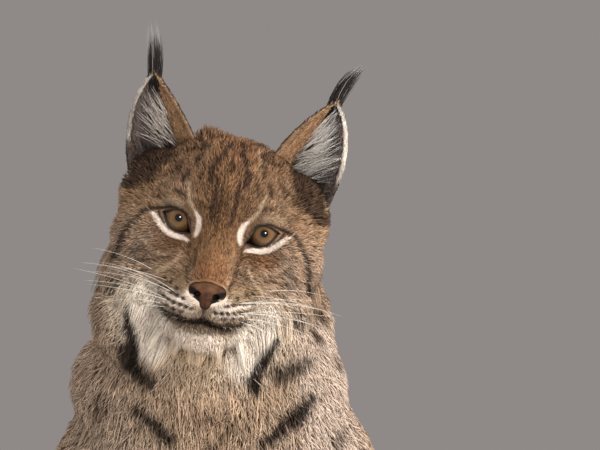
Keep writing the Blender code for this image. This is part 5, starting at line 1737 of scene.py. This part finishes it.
# Floor, light and camera
studio = {
    "floorRadius": 5.5, "floorColour": (0.62, 0.6, 0.58), "floorShade": 0.94, "aim": (0, -0.3, 0.5),
    "background": (0.275, 0.253, 0.245), "daylight": (0.66, 0.65, 0.64),
    "lights": {  # place, size, power, colour
        "key": ((1.6, -3.9, 2.9), 0.6, 106, (1.0, 0.96, 0.9)),
        "side": ((3.3, -0.9, 1.1), 1.6, 130, (1.0, 0.985, 0.96)),
        "fill": ((-2.4, -3.6, 0.9), 2.4, 22, (0.94, 0.97, 1.0)),
        "low": ((1.0, -3.4, 0.25), 1.2, 27, (1.0, 0.97, 0.94)),
        "top": ((0.0, -0.4, 3.4), 2.4, 32, (1.0, 0.98, 0.96)),
        "back": ((-1.2, 2.6, 2.4), 2.0, 30, (1.0, 0.97, 0.94)),
    },
    "camera": (0.0676, -4.454, 0.723), "lens": 312.0,
}


def makeStudio():
    bm = bmesh.new()
    bmesh.ops.create_circle(bm, cap_ends=True, segments=128, radius=studio["floorRadius"])
    floor = objectOf("floor", bm)
    made, nodes, links, shader = newMaterial("floor", 0.8, 0.2)
    place = addNode(nodes, "ShaderNodeTexCoord")
    noise = addNode(nodes, "ShaderNodeTexNoise", Scale=3.0, Detail=4.0)
    ramp = addNode(nodes, "ShaderNodeValToRGB")
    ramp.color_ramp.elements[0].color = (*[c * studio["floorShade"] for c in studio["floorColour"]], 1)
    ramp.color_ramp.elements[1].color = (*studio["floorColour"], 1)
    links.new(place.outputs["Object"], noise.inputs["Vector"])
    links.new(noise.outputs["Fac"], ramp.inputs["Fac"])
    links.new(ramp.outputs["Color"], shader.inputs["Base Color"])
    floor.data.materials.append(made)
    for name, (at, size, power, colour) in studio["lights"].items():
        light = bpy.data.lights.new(name, "AREA")
        light.size, light.energy, light.color = size, power, colour
        lamp = bpy.data.objects.new(name, light)
        lamp.visible_glossy = name == "key"  # one small light in each eye
        lamp.location = at
        aim = Vector(studio["aim"]) - Vector(at)
        lamp.rotation_euler = aim.to_track_quat("-Z", "Y").to_euler()
        scene.collection.objects.link(lamp)
    world = bpy.data.worlds.new("studio")
    world.use_nodes = True
    nodes, links = world.node_tree.nodes, world.node_tree.links
    light, seen = nodes["Background"], nodes.new("ShaderNodeBackground")
    light.inputs["Color"].default_value = (*studio["daylight"], 1)
    seen.inputs["Color"].default_value = (*studio["background"], 1)
    rays, either = nodes.new("ShaderNodeLightPath"), nodes.new("ShaderNodeMixShader")
    links.new(rays.outputs["Is Camera Ray"], either.inputs["Fac"])
    links.new(light.outputs["Background"], either.inputs[1])
    links.new(seen.outputs["Background"], either.inputs[2])
    links.new(either.outputs["Shader"], nodes["World Output"].inputs["Surface"])
    scene.world = world
    camera = bpy.data.cameras.new("camera")
    camera.sensor_width, camera.lens = 36, studio["lens"]
    camera.clip_start, camera.clip_end = 0.05, 60
    view = bpy.data.objects.new("camera", camera)
    view.location = studio["camera"]
    view.rotation_euler = (math.radians(90), 0, 0)
    scene.collection.objects.link(view)
    scene.camera = view
    scene.view_settings.view_transform = "Standard"


makeStudio()
bpy.context.view_layer.update()
